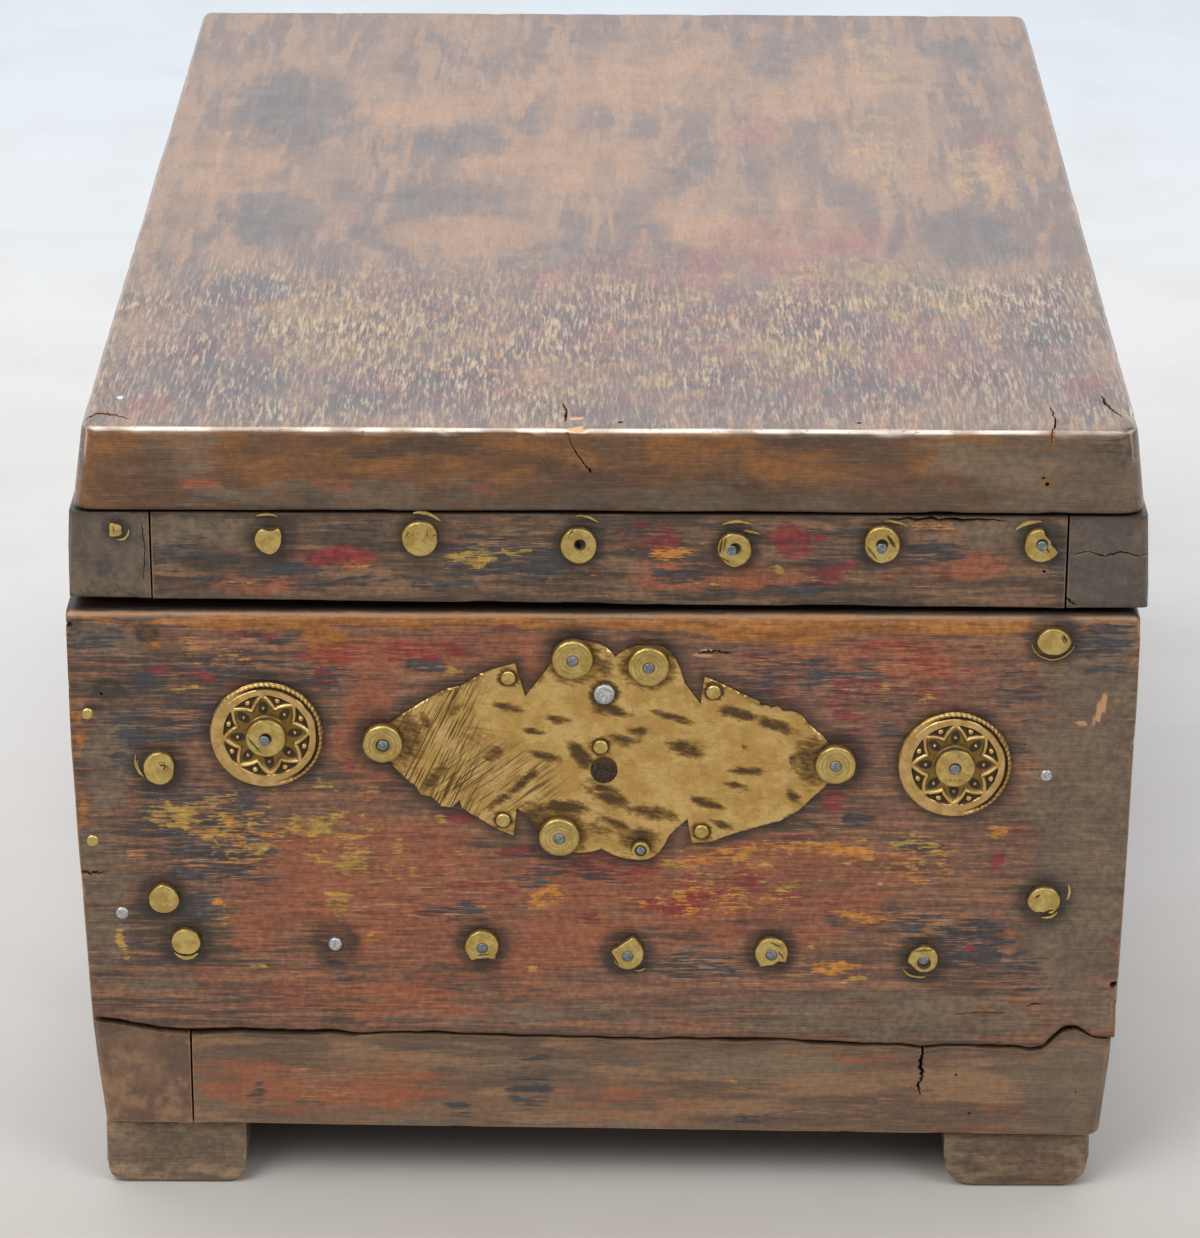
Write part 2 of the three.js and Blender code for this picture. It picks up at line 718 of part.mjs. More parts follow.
place(lid, 'lid_back_rail', drillBack(backRail, boxDepth, lidNailHoles), lidWood);

// The origin is the middle of the footprint, on the floor
const extent = new THREE.Box3().setFromObject(box, true);
const middle = extent.getCenter(new THREE.Vector3());
box.position.set(-middle.x, -middle.y, -extent.min.z);

export default box;
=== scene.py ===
"""Looks of an old hinged wooden box with painted boards and hand-cut brass fittings.

Sizes and places are millimetres as seen from the front: x to the right of the body's middle,
y back from the front board's face and z up from the floor. Place turns them into metres in
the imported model's own frame.
"""

import logging
import math
import random
from collections.abc import Iterator
from contextlib import contextmanager
from dataclasses import dataclass, field
from enum import Enum

import bpy
import numpy as np
from mathutils import Matrix, Vector, kdtree, noise


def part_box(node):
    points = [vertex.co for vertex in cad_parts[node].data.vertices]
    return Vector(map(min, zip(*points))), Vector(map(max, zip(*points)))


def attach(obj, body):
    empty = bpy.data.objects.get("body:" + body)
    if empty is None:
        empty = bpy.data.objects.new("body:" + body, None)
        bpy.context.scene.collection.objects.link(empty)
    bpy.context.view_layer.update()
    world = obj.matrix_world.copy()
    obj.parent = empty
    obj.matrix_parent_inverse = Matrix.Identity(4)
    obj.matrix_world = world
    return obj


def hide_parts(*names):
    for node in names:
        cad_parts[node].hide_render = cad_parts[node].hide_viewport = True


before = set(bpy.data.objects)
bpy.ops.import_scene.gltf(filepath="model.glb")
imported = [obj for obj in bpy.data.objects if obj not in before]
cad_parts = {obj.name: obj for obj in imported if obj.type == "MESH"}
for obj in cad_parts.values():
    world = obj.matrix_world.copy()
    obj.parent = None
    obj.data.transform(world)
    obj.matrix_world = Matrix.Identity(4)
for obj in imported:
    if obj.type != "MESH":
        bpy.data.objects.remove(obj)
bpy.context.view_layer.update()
log = logging.getLogger("box")

MM = 0.001

# Level of the body's foot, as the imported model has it
BODY_LOW = 42.8

# Short names of types that come up throughout
Array = np.ndarray
Piece = bpy.types.Object
Material = bpy.types.Material
Socket = bpy.types.NodeSocket
Triple = tuple[float, float, float]


class Grain(Enum):
    """The axis that a board's grain runs along."""

    ACROSS = 0
    DEEP = 1
    UP = 2


class Side(Enum):
    """A face of a board: its axis and which end of it."""

    LEFT = (0, 0)
    RIGHT = (0, 1)
    FRONT = (1, 0)
    BACK = (1, 1)
    BOTTOM = (2, 0)
    TOP = (2, 1)


class Place:
    """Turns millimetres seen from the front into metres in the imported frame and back."""

    def __init__(self) -> None:
        """Takes the origin from the front board's middle and face."""
        low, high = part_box("body_front_board")
        self.origin = np.array([(low.x + high.x) / 2, low.y, 0.0])

    def to_frame(self, points: Array) -> Array:
        """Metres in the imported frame, from millimetres seen from the front."""
        return np.asarray(points, float) * MM + self.origin

    def to_front(self, points: Array) -> Array:
        """Millimetres seen from the front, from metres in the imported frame."""
        return (np.asarray(points, float) - self.origin) / MM

    def at(self, x: float, y: float, z: float) -> Vector:
        """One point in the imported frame, from millimetres seen from the front."""
        return Vector(self.to_frame([x, y, z]))

    def box(self, node: str) -> tuple[Array, Array]:
        """A node's lowest and highest corner, seen from the front."""
        low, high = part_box(node)
        return self.to_front(low), self.to_front(high)


PLACE = Place()

# How far the body's ends are drawn in at their foot and at their top
BODY_LEAN = {Side.LEFT: (2.3, -1.2), Side.RIGHT: (1.3, -0.5)}


# Colour and node helpers

def to_linear(code: str) -> tuple[float, float, float, float]:
    """A linear colour from an sRGB hex code.

    Args:
        code: the colour as #RRGGBB.

    Returns:
        Red, green, blue and alpha, linear.
    """
    channels = [int(code[i:i + 2], 16) / 255 for i in (1, 3, 5)]
    linear = [c / 12.92 if c <= 0.04045 else ((c + 0.055) / 1.055) ** 2.4 for c in channels]
    return (*linear, 1.0)


def add_node(
    tree: bpy.types.NodeTree, kind: str, inputs: dict | None = None, **settings: object
) -> bpy.types.Node:
    """Adds a node with its settings and links.

    Args:
        tree: the node tree.
        kind: the node's type name.
        inputs: for each input's name or number, a socket to link or a value to set.
        settings: properties of the node.

    Returns:
        The new node.
    """
    node = tree.nodes.new(kind)
    for name, value in settings.items():
        setattr(node, name, value)
    for key, value in (inputs or {}).items():
        if isinstance(value, Socket):
            tree.links.new(value, node.inputs[key])
        else:
            node.inputs[key].default_value = value
    return node


class Shader:
    """A material under construction, with the patterns that several finishes share."""

    # How far each new pattern is moved from the last along x, y and z, in metres
    SHIFTS = (0.037, 0.019, 0.053)

    def __init__(self, name: str) -> None:
        """Starts an empty material with object coordinates."""
        self.material = bpy.data.materials.new(name)
        self.material.use_nodes = True
        self.tree = self.material.node_tree
        self.tree.nodes.clear()
        self.coords = add_node(self.tree, "ShaderNodeTexCoord").outputs["Object"]
        self.count = 0

    def pattern(self, size: Triple, detail: float = 3.0,
                rough: float = 0.55, turn: Triple = (0, 0, 0),
                warp: float = 0.0) -> Socket:
        """Noise whose features have a real size.

        Args:
            size: how long a feature is along each axis, in millimetres.
            detail: octaves of finer noise.
            rough: how strong the finer octaves are.
            turn: the pattern's rotation in radians.
            warp: distortion of the noise.

        Returns:
            A socket from 0 to 1.
        """
        self.count += 1
        shift = tuple(self.count * step for step in self.SHIFTS)
        mapped = add_node(self.tree, "ShaderNodeMapping", {
            "Vector": self.coords, "Rotation": turn, "Location": shift,
            "Scale": tuple(length * MM for length in size),
        }, vector_type="TEXTURE")
        return add_node(self.tree, "ShaderNodeTexNoise", {
            "Vector": mapped.outputs[0], "Scale": 1.0, "Detail": detail,
            "Roughness": rough, "Distortion": warp,
        }).outputs["Fac"]

    def math(self, operation: str, first: object, second: object = 0.0,
             third: object = 0.0) -> Socket:
        """The result of one sum on two or three sockets or numbers."""
        inputs = {0: first, 1: second, 2: third}
        return add_node(self.tree, "ShaderNodeMath", inputs, operation=operation).outputs[0]

    def step(self, value: Socket, low: float, high: float,
             start: float = 0.0, end: float = 1.0) -> Socket:
        """Turns a value smoothly from start to end as it goes from low to high."""
        return add_node(self.tree, "ShaderNodeMapRange", {
            "Value": value, "From Min": low, "From Max": high, "To Min": start, "To Max": end,
        }, interpolation_type="SMOOTHSTEP").outputs[0]

    def painted(self, name: str) -> Socket:
        """The value that a piece's own points carry under a name."""
        return add_node(self.tree, "ShaderNodeAttribute", attribute_name=name).outputs["Fac"]

    def blend(self, factor: object, under: object, over: object,
              mode: str = "MIX") -> Socket:
        """One colour laid over another by a factor. Colours are sockets or hex codes."""
        under, over = (to_linear(c) if isinstance(c, str) else c for c in (under, over))
        return add_node(self.tree, "ShaderNodeMix", {0: factor, 6: under, 7: over},
                        data_type="RGBA", blend_type=mode).outputs[2]

    def relief(self, height: Socket, depth: float,
               under: Socket | None = None) -> Socket:
        """A bumped normal from a height of 0 to 1 that stands for a depth in millimetres."""
        inputs = {"Height": height, "Strength": 1.0, "Distance": depth * MM}
        if under is not None:
            inputs["Normal"] = under
        return add_node(self.tree, "ShaderNodeBump", inputs).outputs[0]

    def finish(self, **surface: object) -> Material:
        """Closes the material with its surface.

        Args:
            surface: the surface's sockets by name, with underscores for spaces.

        Returns:
            The finished material.
        """
        inputs = {name.replace("_", " "): value for name, value in surface.items()}
        shader = add_node(self.tree, "ShaderNodeBsdfPrincipled", inputs)
        add_node(self.tree, "ShaderNodeOutputMaterial", {"Surface": shader.outputs[0]})
        return self.material


# Finishes

@dataclass(frozen=True)
class Coat:
    """What is left of one coat of paint. It lies where the board's points say, broken by wear.

    A brush mark is streak long and fine wide, in millimetres. The coat holds where the points'
    value and the marks together pass need. A greater gain makes it more ragged, edge softens
    its borders, and veil is how well it hides what is under it.
    """

    name: str
    colour: str
    deep: str
    streak: float = 9.0
    fine: float = 0.6
    gain: float = 1.0
    need: float = 0.95
    edge: float = 0.16
    veil: float = 0.9
    warp: float = 0.0


RED_COAT = Coat("crimson", "#85242B", "#591F27", streak=7, fine=0.8, need=0.72, edge=0.24, veil=0.8)
BLUE_COAT = Coat("blueblack", "#393C43", "#2A2B2F", streak=9, fine=0.7, need=0.62, edge=0.2)
OCHRE_COAT = Coat("ochre", "#B48E40", "#8F7A35", streak=4, fine=0.6, need=0.86)
ORANGE_COAT = Coat("orange", "#C27E2E", "#A9722E", streak=4, fine=0.55, need=0.84)
PEACH_COAT = Coat("peach", "#AE7850", "#956A49", streak=9, fine=0.4, need=0.82)
TERRACOTTA_COAT = Coat(
    "terracotta", "#935539", "#85503A", streak=14, fine=1.6, gain=0.6, need=0.45, edge=0.3, veil=0.85)
AMBER_COAT = Coat("amber", "#A56A2C", "#85501F", streak=14, fine=1.0, gain=0.6, need=0.36, edge=0.25)
BROWN_COAT = Coat(
    "brown", "#70604E", "#5E5246", streak=12, fine=1.2, gain=0.7, need=0.5, edge=0.3, veil=0.85)
TOP_BLUE_COAT = Coat(
    "blueblack", "#454448", "#36373C", 9, 3.2, gain=0.6, need=0.45, edge=0.5, veil=0.62, warp=0.5)
TOP_OCHRE_COAT = Coat(
    "ochre", "#A98C4C", "#8A7040", 7, 1.2, gain=0.8, need=0.66, edge=0.4, veil=0.42, warp=0.5)
TOP_RED_COAT = Coat(
    "crimson", "#7C3238", "#6C2C34", 7, 2.4, gain=0.7, need=0.52, edge=0.5, veil=0.5, warp=0.5)
SMOKE_COAT = Coat("smoke", "#5C4534", "#4A382B", 12, 4, gain=0.6, need=0.5, edge=0.5, veil=0.75)
TAN_COAT = Coat("tan", "#A0744E", "#8E6A48", 12, 5, gain=0.5, need=0.42, edge=0.5, veil=0.45)


@dataclass(frozen=True)
class AgedWood:
    """Old softwood or mango wood, planed by hand, painted, waxed and rubbed bare in places.

    To the eye it is a warm brown ground with fine dark and pale fibres, thin streaks of several
    old colours that follow the grain, dark soiling round the fittings and a low, greasy shine.
    The dark layer is also painted shade where the points ask for it, a near-black layer is
    painted shade in gaps and slits, and the near-white edge colour of the lid's top is a painted
    highlight.
    """

    name: str
    light: str
    middle: str
    dark: str
    # Colour of the broken edges: pale wear on most boards, near white on the lid's top, where it is a
    # painted highlight
    arris: str
    grain: Grain
    coats: tuple[Coat, ...] = ()
    rough: float = 0.5
    wax: float = 0.25
    pores: float = 0.55
    lift: float = 0.3
    figure: tuple[float, float] = (45.0, 2.0)
    mottle: float = 0.2
    ridges: bool = False

    FIELD_PULL = 1.2
    STREAK_PULL = 3.2
    BLOTCH_PULL = 2.6

    def along(self, length: float, fine: float) -> Triple:
        """A feature's size, long with the grain and fine across it."""
        size = [fine, fine, fine]
        size[self.grain.value] = length
        return tuple(size)

    def layer(self, shader: Shader, coat: Coat) -> tuple[Socket, Socket]:
        """One coat of paint: where it holds, and its colour.

        Args:
            shader: the material under construction.
            coat: the coat.

        Returns:
            The mask and the colour.
        """
        streak = shader.pattern(self.along(coat.streak, coat.fine), 3, 0.62, warp=coat.warp)
        blotch = shader.pattern(self.along(coat.streak * 1.3, coat.fine * 6), 3, 0.6, warp=coat.warp)
        place = shader.painted(coat.name)
        broad = shader.math("MULTIPLY", blotch, self.BLOTCH_PULL * coat.gain)
        ragged = shader.math("MULTIPLY_ADD", streak, self.STREAK_PULL * coat.gain, broad)
        worn = shader.math("MULTIPLY_ADD", place, self.FIELD_PULL, ragged)
        middle = coat.need + 0.5 * coat.gain * (self.STREAK_PULL + self.BLOTCH_PULL)
        holds = shader.step(worn, middle - coat.edge, middle + coat.edge)
        mask = shader.math("MULTIPLY", holds, shader.step(place, 0.04, 0.2, 0.0, coat.veil))
        tone = shader.blend(shader.step(blotch, 0.38, 0.62), coat.deep, coat.colour)
        return mask, tone

    def make(self) -> Material:
        """Builds the material."""
        shader = Shader(self.name)
        broad = shader.pattern(self.along(70, 18), 3, 0.6, warp=0.4)
        figure = shader.pattern(self.along(*self.figure), 4, 0.6, warp=0.3)
        fibre = shader.pattern(self.along(8, 0.5), 3, 0.65)
        cloud = shader.pattern((9, 9, 9), 4, 0.6)
        colour = shader.blend(shader.step(broad, 0.42, 0.58), self.dark, self.middle)
        colour = shader.blend(shader.step(figure, 0.46, 0.6, 0.0, 0.85), colour, self.light)
        height = fibre
        for coat in self.coats:
            mask, tone = self.layer(shader, coat)
            colour = shader.blend(mask, colour, tone)
            height = shader.math("MULTIPLY_ADD", mask, 0.3, height)
        calm = shader.step(shader.painted("brown"), 0.2, 0.9, 1.0, 0.4)
        busy = shader.math("MULTIPLY", shader.step(cloud, 0.35, 0.65, 0.4, 1.0), calm)
        pore = shader.math("MULTIPLY", shader.step(fibre, 0.38, 0.48, self.pores, 0.0), busy)
        colour = shader.blend(pore, colour, "#2E221C")
        pale = shader.math("MULTIPLY", shader.step(fibre, 0.55, 0.66, 0.0, self.lift), calm)
        colour = shader.blend(pale, colour, "#AA8562")
        mottle = shader.pattern((1.7, 1.7, 1.7), 3, 0.6)
        light = shader.step(mottle, 0.34, 0.66, 1 - self.mottle, 1 + self.mottle)
        colour = shader.blend(1.0, colour, light, "MULTIPLY")
        if self.ridges:
            ridge = shader.pattern(self.along(6.5, 0.7), 3, 0.62, warp=0.35)
            zone = shader.painted("ridged")
            furrow = shader.math("MULTIPLY", shader.step(ridge, 0.4, 0.53, 0.95, 0.0), zone)
            crest = shader.math("MULTIPLY", shader.step(ridge, 0.54, 0.63, 0.0, 0.68), zone)
            colour = shader.blend(furrow, colour, "#2A2830")
            colour = shader.blend(crest, colour, "#AEA080")
            height = shader.math("MULTIPLY_ADD", shader.math("MULTIPLY", ridge, zone), 2.0, height)
        speck = shader.pattern((1.6, 1.6, 1.6), 4, 0.7)
        # Edge colour on the broken edges: wear on most boards, and a painted highlight where that colour
        # is near white, on the lid's top
        edge_wear_and_highlight = shader.math("MULTIPLY", shader.painted("arris"), shader.step(speck, 0.26, 0.46))
        colour = shader.blend(edge_wear_and_highlight, colour, self.arris)
        # Dark soiling round fittings and along seams; where the points carry it, the same layer is
        # painted shade at the gap under the lid and at the foot of the lid's edges
        dirt_and_shade = shader.math("MULTIPLY", shader.painted("grime_and_shade"), shader.step(cloud, 0.2, 0.62, 0.6, 1.0))
        dirt_and_shade = shader.math("MULTIPLY", dirt_and_shade, shader.step(fibre, 0.5, 0.68, 0.9, 0.55))
        colour = shader.blend(dirt_and_shade, colour, "#2C241F")
        # Near-black painted shade in the gaps and slits between boards
        colour = shader.blend(shader.painted("painted_deep_shade"), colour, "#0E0C0B")
        scar = shader.painted("scar")
        colour = shader.blend(shader.step(scar, 0.3, 0.7), colour, "#B58A62")
        bare = shader.painted("bare")
        raw = shader.blend(shader.step(figure, 0.35, 0.65), "#6B4A33", "#8A6547")
        colour = shader.blend(bare, colour, raw)
        shine = shader.math("MULTIPLY_ADD", cloud, 0.22, self.rough - 0.11)
        rough = shader.math("MULTIPLY_ADD", bare, 0.2, shine)
        rough = shader.math("MULTIPLY_ADD", edge_wear_and_highlight, -0.2, rough)
        normal = shader.relief(height, 0.16)
        normal = shader.relief(figure, 0.25, normal)
        return shader.finish(Base_Color=colour, Roughness=rough, Normal=normal,
                             Coat_Weight=self.wax, Coat_Roughness=0.38, Specular_IOR_Level=0.4)


@dataclass(frozen=True)
class PolishedBrass:
    """Turned or pressed brass, filed flat, pale where it is rubbed, brown where soil stays and as painted
    shade on upper rims.
    """

    name: str
    bright: str = "#D9C27E"
    dull: str = "#BEA461"
    stain: str = "#8A6E34"
    dirt_and_shade: str = "#43372A"
    rough: float = 0.42
    scratch: Triple = (4.0, 4.0, 0.35)

    def make(self) -> Material:
        """Builds the material."""
        shader = Shader(self.name)
        cloud = shader.pattern((2.6, 2.6, 2.6), 3, 0.6)
        colour = shader.blend(shader.step(cloud, 0.36, 0.64), self.dull, self.bright)
        marks = []
        for tilt, strength in ((0.5, 0.4), (-0.7, 0.3), (1.2, 0.25)):
            mark = shader.pattern(self.scratch, 2, 0.6, (0.0, tilt, 0.0))
            colour = shader.blend(shader.step(mark, 0.3, 0.42, strength, 0.0), colour, self.stain)
            marks.append(mark)
        worn = shader.math("MULTIPLY_ADD", cloud, 0.5, shader.painted("tarnish"))
        colour = shader.blend(shader.step(worn, 0.4, 0.8, 0.0, 0.85), colour, self.stain)
        mask = shader.step(worn, 0.75, 1.15)
        colour = shader.blend(mask, colour, self.dirt_and_shade)
        rough = shader.step(mask, 0.0, 1.0, self.rough, 0.66)
        metal = shader.step(mask, 0.0, 1.0, 1.0, 0.4)
        normal = shader.relief(shader.math("ADD", marks[0], marks[1]), 0.05)
        return shader.finish(Base_Color=colour, Roughness=rough, Metallic=metal, Normal=normal)


@dataclass(frozen=True)
class SheetBrass:
    """Thick sheet brass, cut with shears, hammered flat and filed.

    To the eye it is pale gold with soft dents, brown strokes of tarnish in them and fans of
    fine file scratches.
    """

    name: str = "filed_sheet_brass"
    bright: str = "#E6C583"
    dull: str = "#CDA866"
    stain: str = "#927240"
    tarnish: str = "#58432A"
    rough: float = 0.4

    HAIRLINES = ((0.12, 0.34), (0.75, 0.3), (-0.35, 0.3), (1.35, 0.22))
    FANS = (("steep_fan", -1.13), ("low_fan", -0.66))

    def make(self) -> Material:
        """Builds the material."""
        shader = Shader(self.name)
        cloud = shader.pattern((5, 5, 5), 4, 0.6)
        colour = shader.blend(shader.step(cloud, 0.36, 0.64), self.dull, self.bright)
        level = shader.pattern((6, 6, 0.35), 3, 0.6)
        for tilt, strength in self.HAIRLINES:
            hair = shader.pattern((7, 7, 0.3), 3, 0.6, (0.0, tilt, 0.0))
            colour = shader.blend(shader.step(hair, 0.32, 0.44, strength, 0.0), colour, self.stain)
        for name, tilt in self.FANS:
            file_mark = shader.pattern((12, 12, 0.45), 2, 0.6, (0.0, tilt, 0.0))
            cut = shader.step(file_mark, 0.4, 0.5, 0.85, 0.0)
            scored = shader.math("MULTIPLY", cut, shader.painted(name))
            colour = shader.blend(scored, colour, self.tarnish)
        ragged = shader.pattern((2.6, 2.6, 1.0), 4, 0.65, (0.0, 0.2, 0.0))
        stain = shader.math("ADD", shader.painted("tarnish"), shader.step(ragged, 0.3, 0.7, -0.3, 0.2))
        colour = shader.blend(shader.step(stain, 0.12, 0.5, 0.0, 0.8), colour, self.stain)
        mask = shader.step(stain, 0.4, 0.85)
        colour = shader.blend(mask, colour, self.tarnish)
        rough = shader.step(mask, 0.0, 1.0, self.rough, 0.6)
        metal = shader.step(mask, 0.0, 1.0, 1.0, 0.55)
        normal = shader.relief(level, 0.03)
        normal = shader.relief(cloud, 0.12, normal)
        return shader.finish(Base_Color=colour, Roughness=rough, Metallic=metal, Normal=normal)


@dataclass(frozen=True)
class ForgedIron:
    """Hand-forged iron, dull grey-black with a bloom of rust and rubbed grey on its edges."""

    name: str
    light: str = "#8E939A"
    dark: str = "#4E5054"
    rust: str = "#5A3B28"
    rusty: float = 0.5
    rough: float = 0.5

    def make(self) -> Material:
        """Builds the material."""
        shader = Shader(self.name)
        cloud = shader.pattern((6, 6, 6), 4, 0.65)
        grit = shader.pattern((0.7, 0.7, 0.7), 3, 0.6)
        colour = shader.blend(shader.step(grit, 0.4, 0.65), self.dark, self.light)
        mask = shader.step(cloud, 0.62 - 0.3 * self.rusty, 0.75 - 0.2 * self.rusty, 0.0, self.rusty)
        colour = shader.blend(mask, colour, self.rust)
        rough = shader.step(cloud, 0.3, 0.7, self.rough - 0.1, self.rough + 0.2)
        metal = shader.step(mask, 0.0, 1.0, 0.85, 0.2)
        return shader.finish(Base_Color=colour, Roughness=rough, Metallic=metal,
                             Normal=shader.relief(grit, 0.06))


@dataclass(frozen=True)
class PaleFloor:
    """A plain pale studio sweep, warm and greyer in front and cooler towards the back."""

    near: str = "#A7A19A"
    middle: str = "#C6C5C4"
    far: str = "#C5CCD2"

    def make(self) -> Material:
        """Builds the material."""
        shader = Shader("pale_floor")
        along = add_node(shader.tree, "ShaderNodeSeparateXYZ", {0: shader.coords}).outputs["Y"]
        colour = shader.blend(shader.step(along, -0.36, 0.0), self.near, self.middle)
        colour = shader.blend(shader.step(along, 0.3, 0.9), colour, self.far)
        cloud = shader.pattern((60, 60, 60), 4, 0.6)
        colour = shader.blend(shader.step(cloud, 0.4, 0.7, 0.0, 0.12), colour, "#A79F95")
        return shader.finish(Base_Color=colour, Roughness=0.75, Specular_IOR_Level=0.2)


# Mesh helpers

def deselect_all() -> None:
    """Leaves nothing selected."""
    bpy.ops.object.select_all(action="DESELECT")


def activate(piece: Piece) -> None:
    """Makes one piece the only selected and active one."""
    deselect_all()
    piece.select_set(True)
    bpy.context.view_layer.objects.active = piece


def points_of(piece: Piece) -> Array:
    """A piece's points, seen from the front."""
    flat = np.empty(len(piece.data.vertices) * 3)
    piece.data.vertices.foreach_get("co", flat)
    return PLACE.to_front(flat.reshape(-1, 3))


def move_points(piece: Piece, points: Array) -> None:
    """Puts a piece's points at places seen from the front."""
    piece.data.vertices.foreach_set("co", PLACE.to_frame(points).ravel())
    piece.data.update()


def paint(piece: Piece, name: str, values: Array) -> None:
    """Lays a named value from 0 to 1 on each of a piece's points."""
    layer = piece.data.attributes.get(name) or piece.data.attributes.new(name, "FLOAT", "POINT")
    layer.data.foreach_set("value", np.clip(values, 0, 1).astype(np.float32))


def select_edges(piece: Piece, chosen: Array) -> None:
    """Selects some edges of a piece, and nothing else of it, for the next edit."""
    mesh = piece.data
    mesh.vertices.foreach_set("select", np.zeros(len(mesh.vertices), bool))
    mesh.polygons.foreach_set("select", np.zeros(len(mesh.polygons), bool))
    mesh.edges.foreach_set("select", chosen)


def ease(low: float, high: float, value: Array) -> Array:
    """A smooth rise from 0 at low to 1 at high."""
    share = np.clip((value - low) / (high - low), 0, 1)
    return share * share * (3 - 2 * share)


def noise_at(points: Array, size: float, seed: float = 0.0) -> Array:
    """Smooth noise from about -1 to 1 at each point, with features of a size in millimetres."""
    shift = Vector((seed * 7.3, seed * 3.1, seed * 11.7))
    return np.array([noise.noise(Vector(p) / size + shift) for p in points])


def split_edges_along(piece: Piece, axis: int, cell: float) -> None:
    """Cuts all long edges that run along an axis into cells, as a ring cut does.

    Args:
        piece: the piece.
        axis: 0, 1 or 2.
        cell: the longest a cell may be, in millimetres.
    """
    mesh = piece.data
    for _ in range(2):
        ends = np.empty(len(mesh.edges) * 2, int)
        mesh.edges.foreach_get("vertices", ends)
        points = points_of(piece)
        run = np.abs(points[ends[1::2]] - points[ends[::2]])
        length = run[:, axis]
        chosen = (length > cell * 1.5) & (run.sum(1) - length < 1e-3)
        if not chosen.any():
            return
        count = math.ceil(length.max() / cell)
        cuts = count - 1 if count <= 40 else math.ceil(math.sqrt(count)) - 1
        select_edges(piece, chosen)
        bpy.ops.object.mode_set(mode="EDIT")
        bpy.ops.mesh.subdivide(number_cuts=cuts)
        bpy.ops.object.mode_set(mode="OBJECT")


def grid_block(name: str, low: Array, high: Array, cell: Triple,
               skirt: tuple[float, ...] = (0.5, 1.2, 2.2, 3.6)) -> Piece:
    """A block whose faces are cut into a grid, closer beside its edges.

    Args:
        name: the piece's name.
        low: lowest corner, seen from the front.
        high: highest corner.
        cell: the largest cell along each axis, in millimetres.
        skirt: distances from each edge where extra cuts go.

    Returns:
        The piece.
    """
    deselect_all()
    centre = PLACE.at(*((low + high) / 2))
    bpy.ops.mesh.primitive_cube_add(size=1, location=centre, scale=tuple((high - low) * MM))
    piece = bpy.context.active_object
    piece.name = name
    piece.data.name = name
    bpy.ops.object.transform_apply()
    bpy.ops.object.mode_set(mode="EDIT")
    bpy.context.tool_settings.mesh_select_mode = (False, True, False)
    for axis in range(3):
        normal = [0, 0, 0]
        normal[axis] = 1
        for away in skirt:
            for level in (low[axis] + away, high[axis] - away):
                spot = (low + high) / 2
                spot[axis] = level
                bpy.ops.mesh.select_all(action="SELECT")
                bpy.ops.mesh.bisect(plane_co=PLACE.at(*spot), plane_no=normal)
    bpy.ops.object.mode_set(mode="OBJECT")
    for axis in range(3):
        split_edges_along(piece, axis, cell[axis])
    return piece


def smooth(piece: Piece, angle: float = 40) -> None:
    """Shades a piece smooth, apart from edges sharper than an angle in degrees."""
    activate(piece)
    bpy.ops.object.shade_smooth_by_angle(angle=math.radians(angle))


@contextmanager
def editing(piece: Piece) -> Iterator[None]:
    """Opens a piece for editing, all of it selected, and closes it again."""
    activate(piece)
    bpy.ops.object.mode_set(mode="EDIT")
    bpy.ops.mesh.select_all(action="SELECT")
    yield
    bpy.ops.object.mode_set(mode="OBJECT")


def mend_normals(piece: Piece, gap: float = 0.001) -> None:
    """Merges a piece's doubled points, then turns all its faces outwards."""
    with editing(piece):
        bpy.ops.mesh.remove_doubles(threshold=gap * MM)
        bpy.ops.mesh.normals_make_consistent(inside=False)


def copy_mesh(source: Piece, name: str) -> Piece:
    """A linked copy of a piece with its own mesh."""
    piece = bpy.data.objects.new(name, source.data.copy())
    piece.data.name = name
    bpy.context.scene.collection.objects.link(piece)
    return piece


def unit_strip(name: str, cells: int) -> Piece:
    """A block from 0 to 1 mm along each axis, cut into cells along x, to be bent into shape."""
    deselect_all()
    bpy.ops.mesh.primitive_cube_add(size=1, location=PLACE.at(0.5, 0.5, 0.5), scale=(MM, MM, MM))
    strip = bpy.context.active_object
    strip.name = name
    bpy.ops.object.transform_apply()
    split_edges_along(strip, 0, 1 / cells)
    return strip


def dress(piece: Piece, material: Material, body: str, slot: str,
          *nodes: str) -> Piece:
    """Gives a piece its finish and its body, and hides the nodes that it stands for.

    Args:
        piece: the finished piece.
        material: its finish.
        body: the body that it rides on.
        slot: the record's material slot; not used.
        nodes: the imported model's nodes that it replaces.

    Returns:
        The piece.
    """
    piece.data.materials.clear()
    piece.data.materials.append(material)
    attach(piece, body)
    if nodes:
        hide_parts(*nodes)
    log.info("made %s, %d points", piece.name, len(piece.data.vertices))
    return piece


def cut_away(piece: Piece, cutters: list[Piece],
             operation: str = "DIFFERENCE") -> None:
    """Cuts a piece with others, which are then thrown away.

    Args:
        piece: the piece to cut.
        cutters: closed meshes.
        operation: DIFFERENCE or INTERSECT.
    """
    if not cutters:
        return
    activate(cutters[0])
    for cutter in cutters[1:]:
        cutter.select_set(True)
    if len(cutters) > 1:
        bpy.ops.object.join()
    tool = bpy.context.active_object
    activate(piece)
    modifier = piece.modifiers.new("cut", "BOOLEAN")
    modifier.object = tool
    modifier.operation = operation
    modifier.solver = "EXACT"
    bpy.ops.object.modifier_apply(modifier=modifier.name)
    bpy.data.objects.remove(tool)


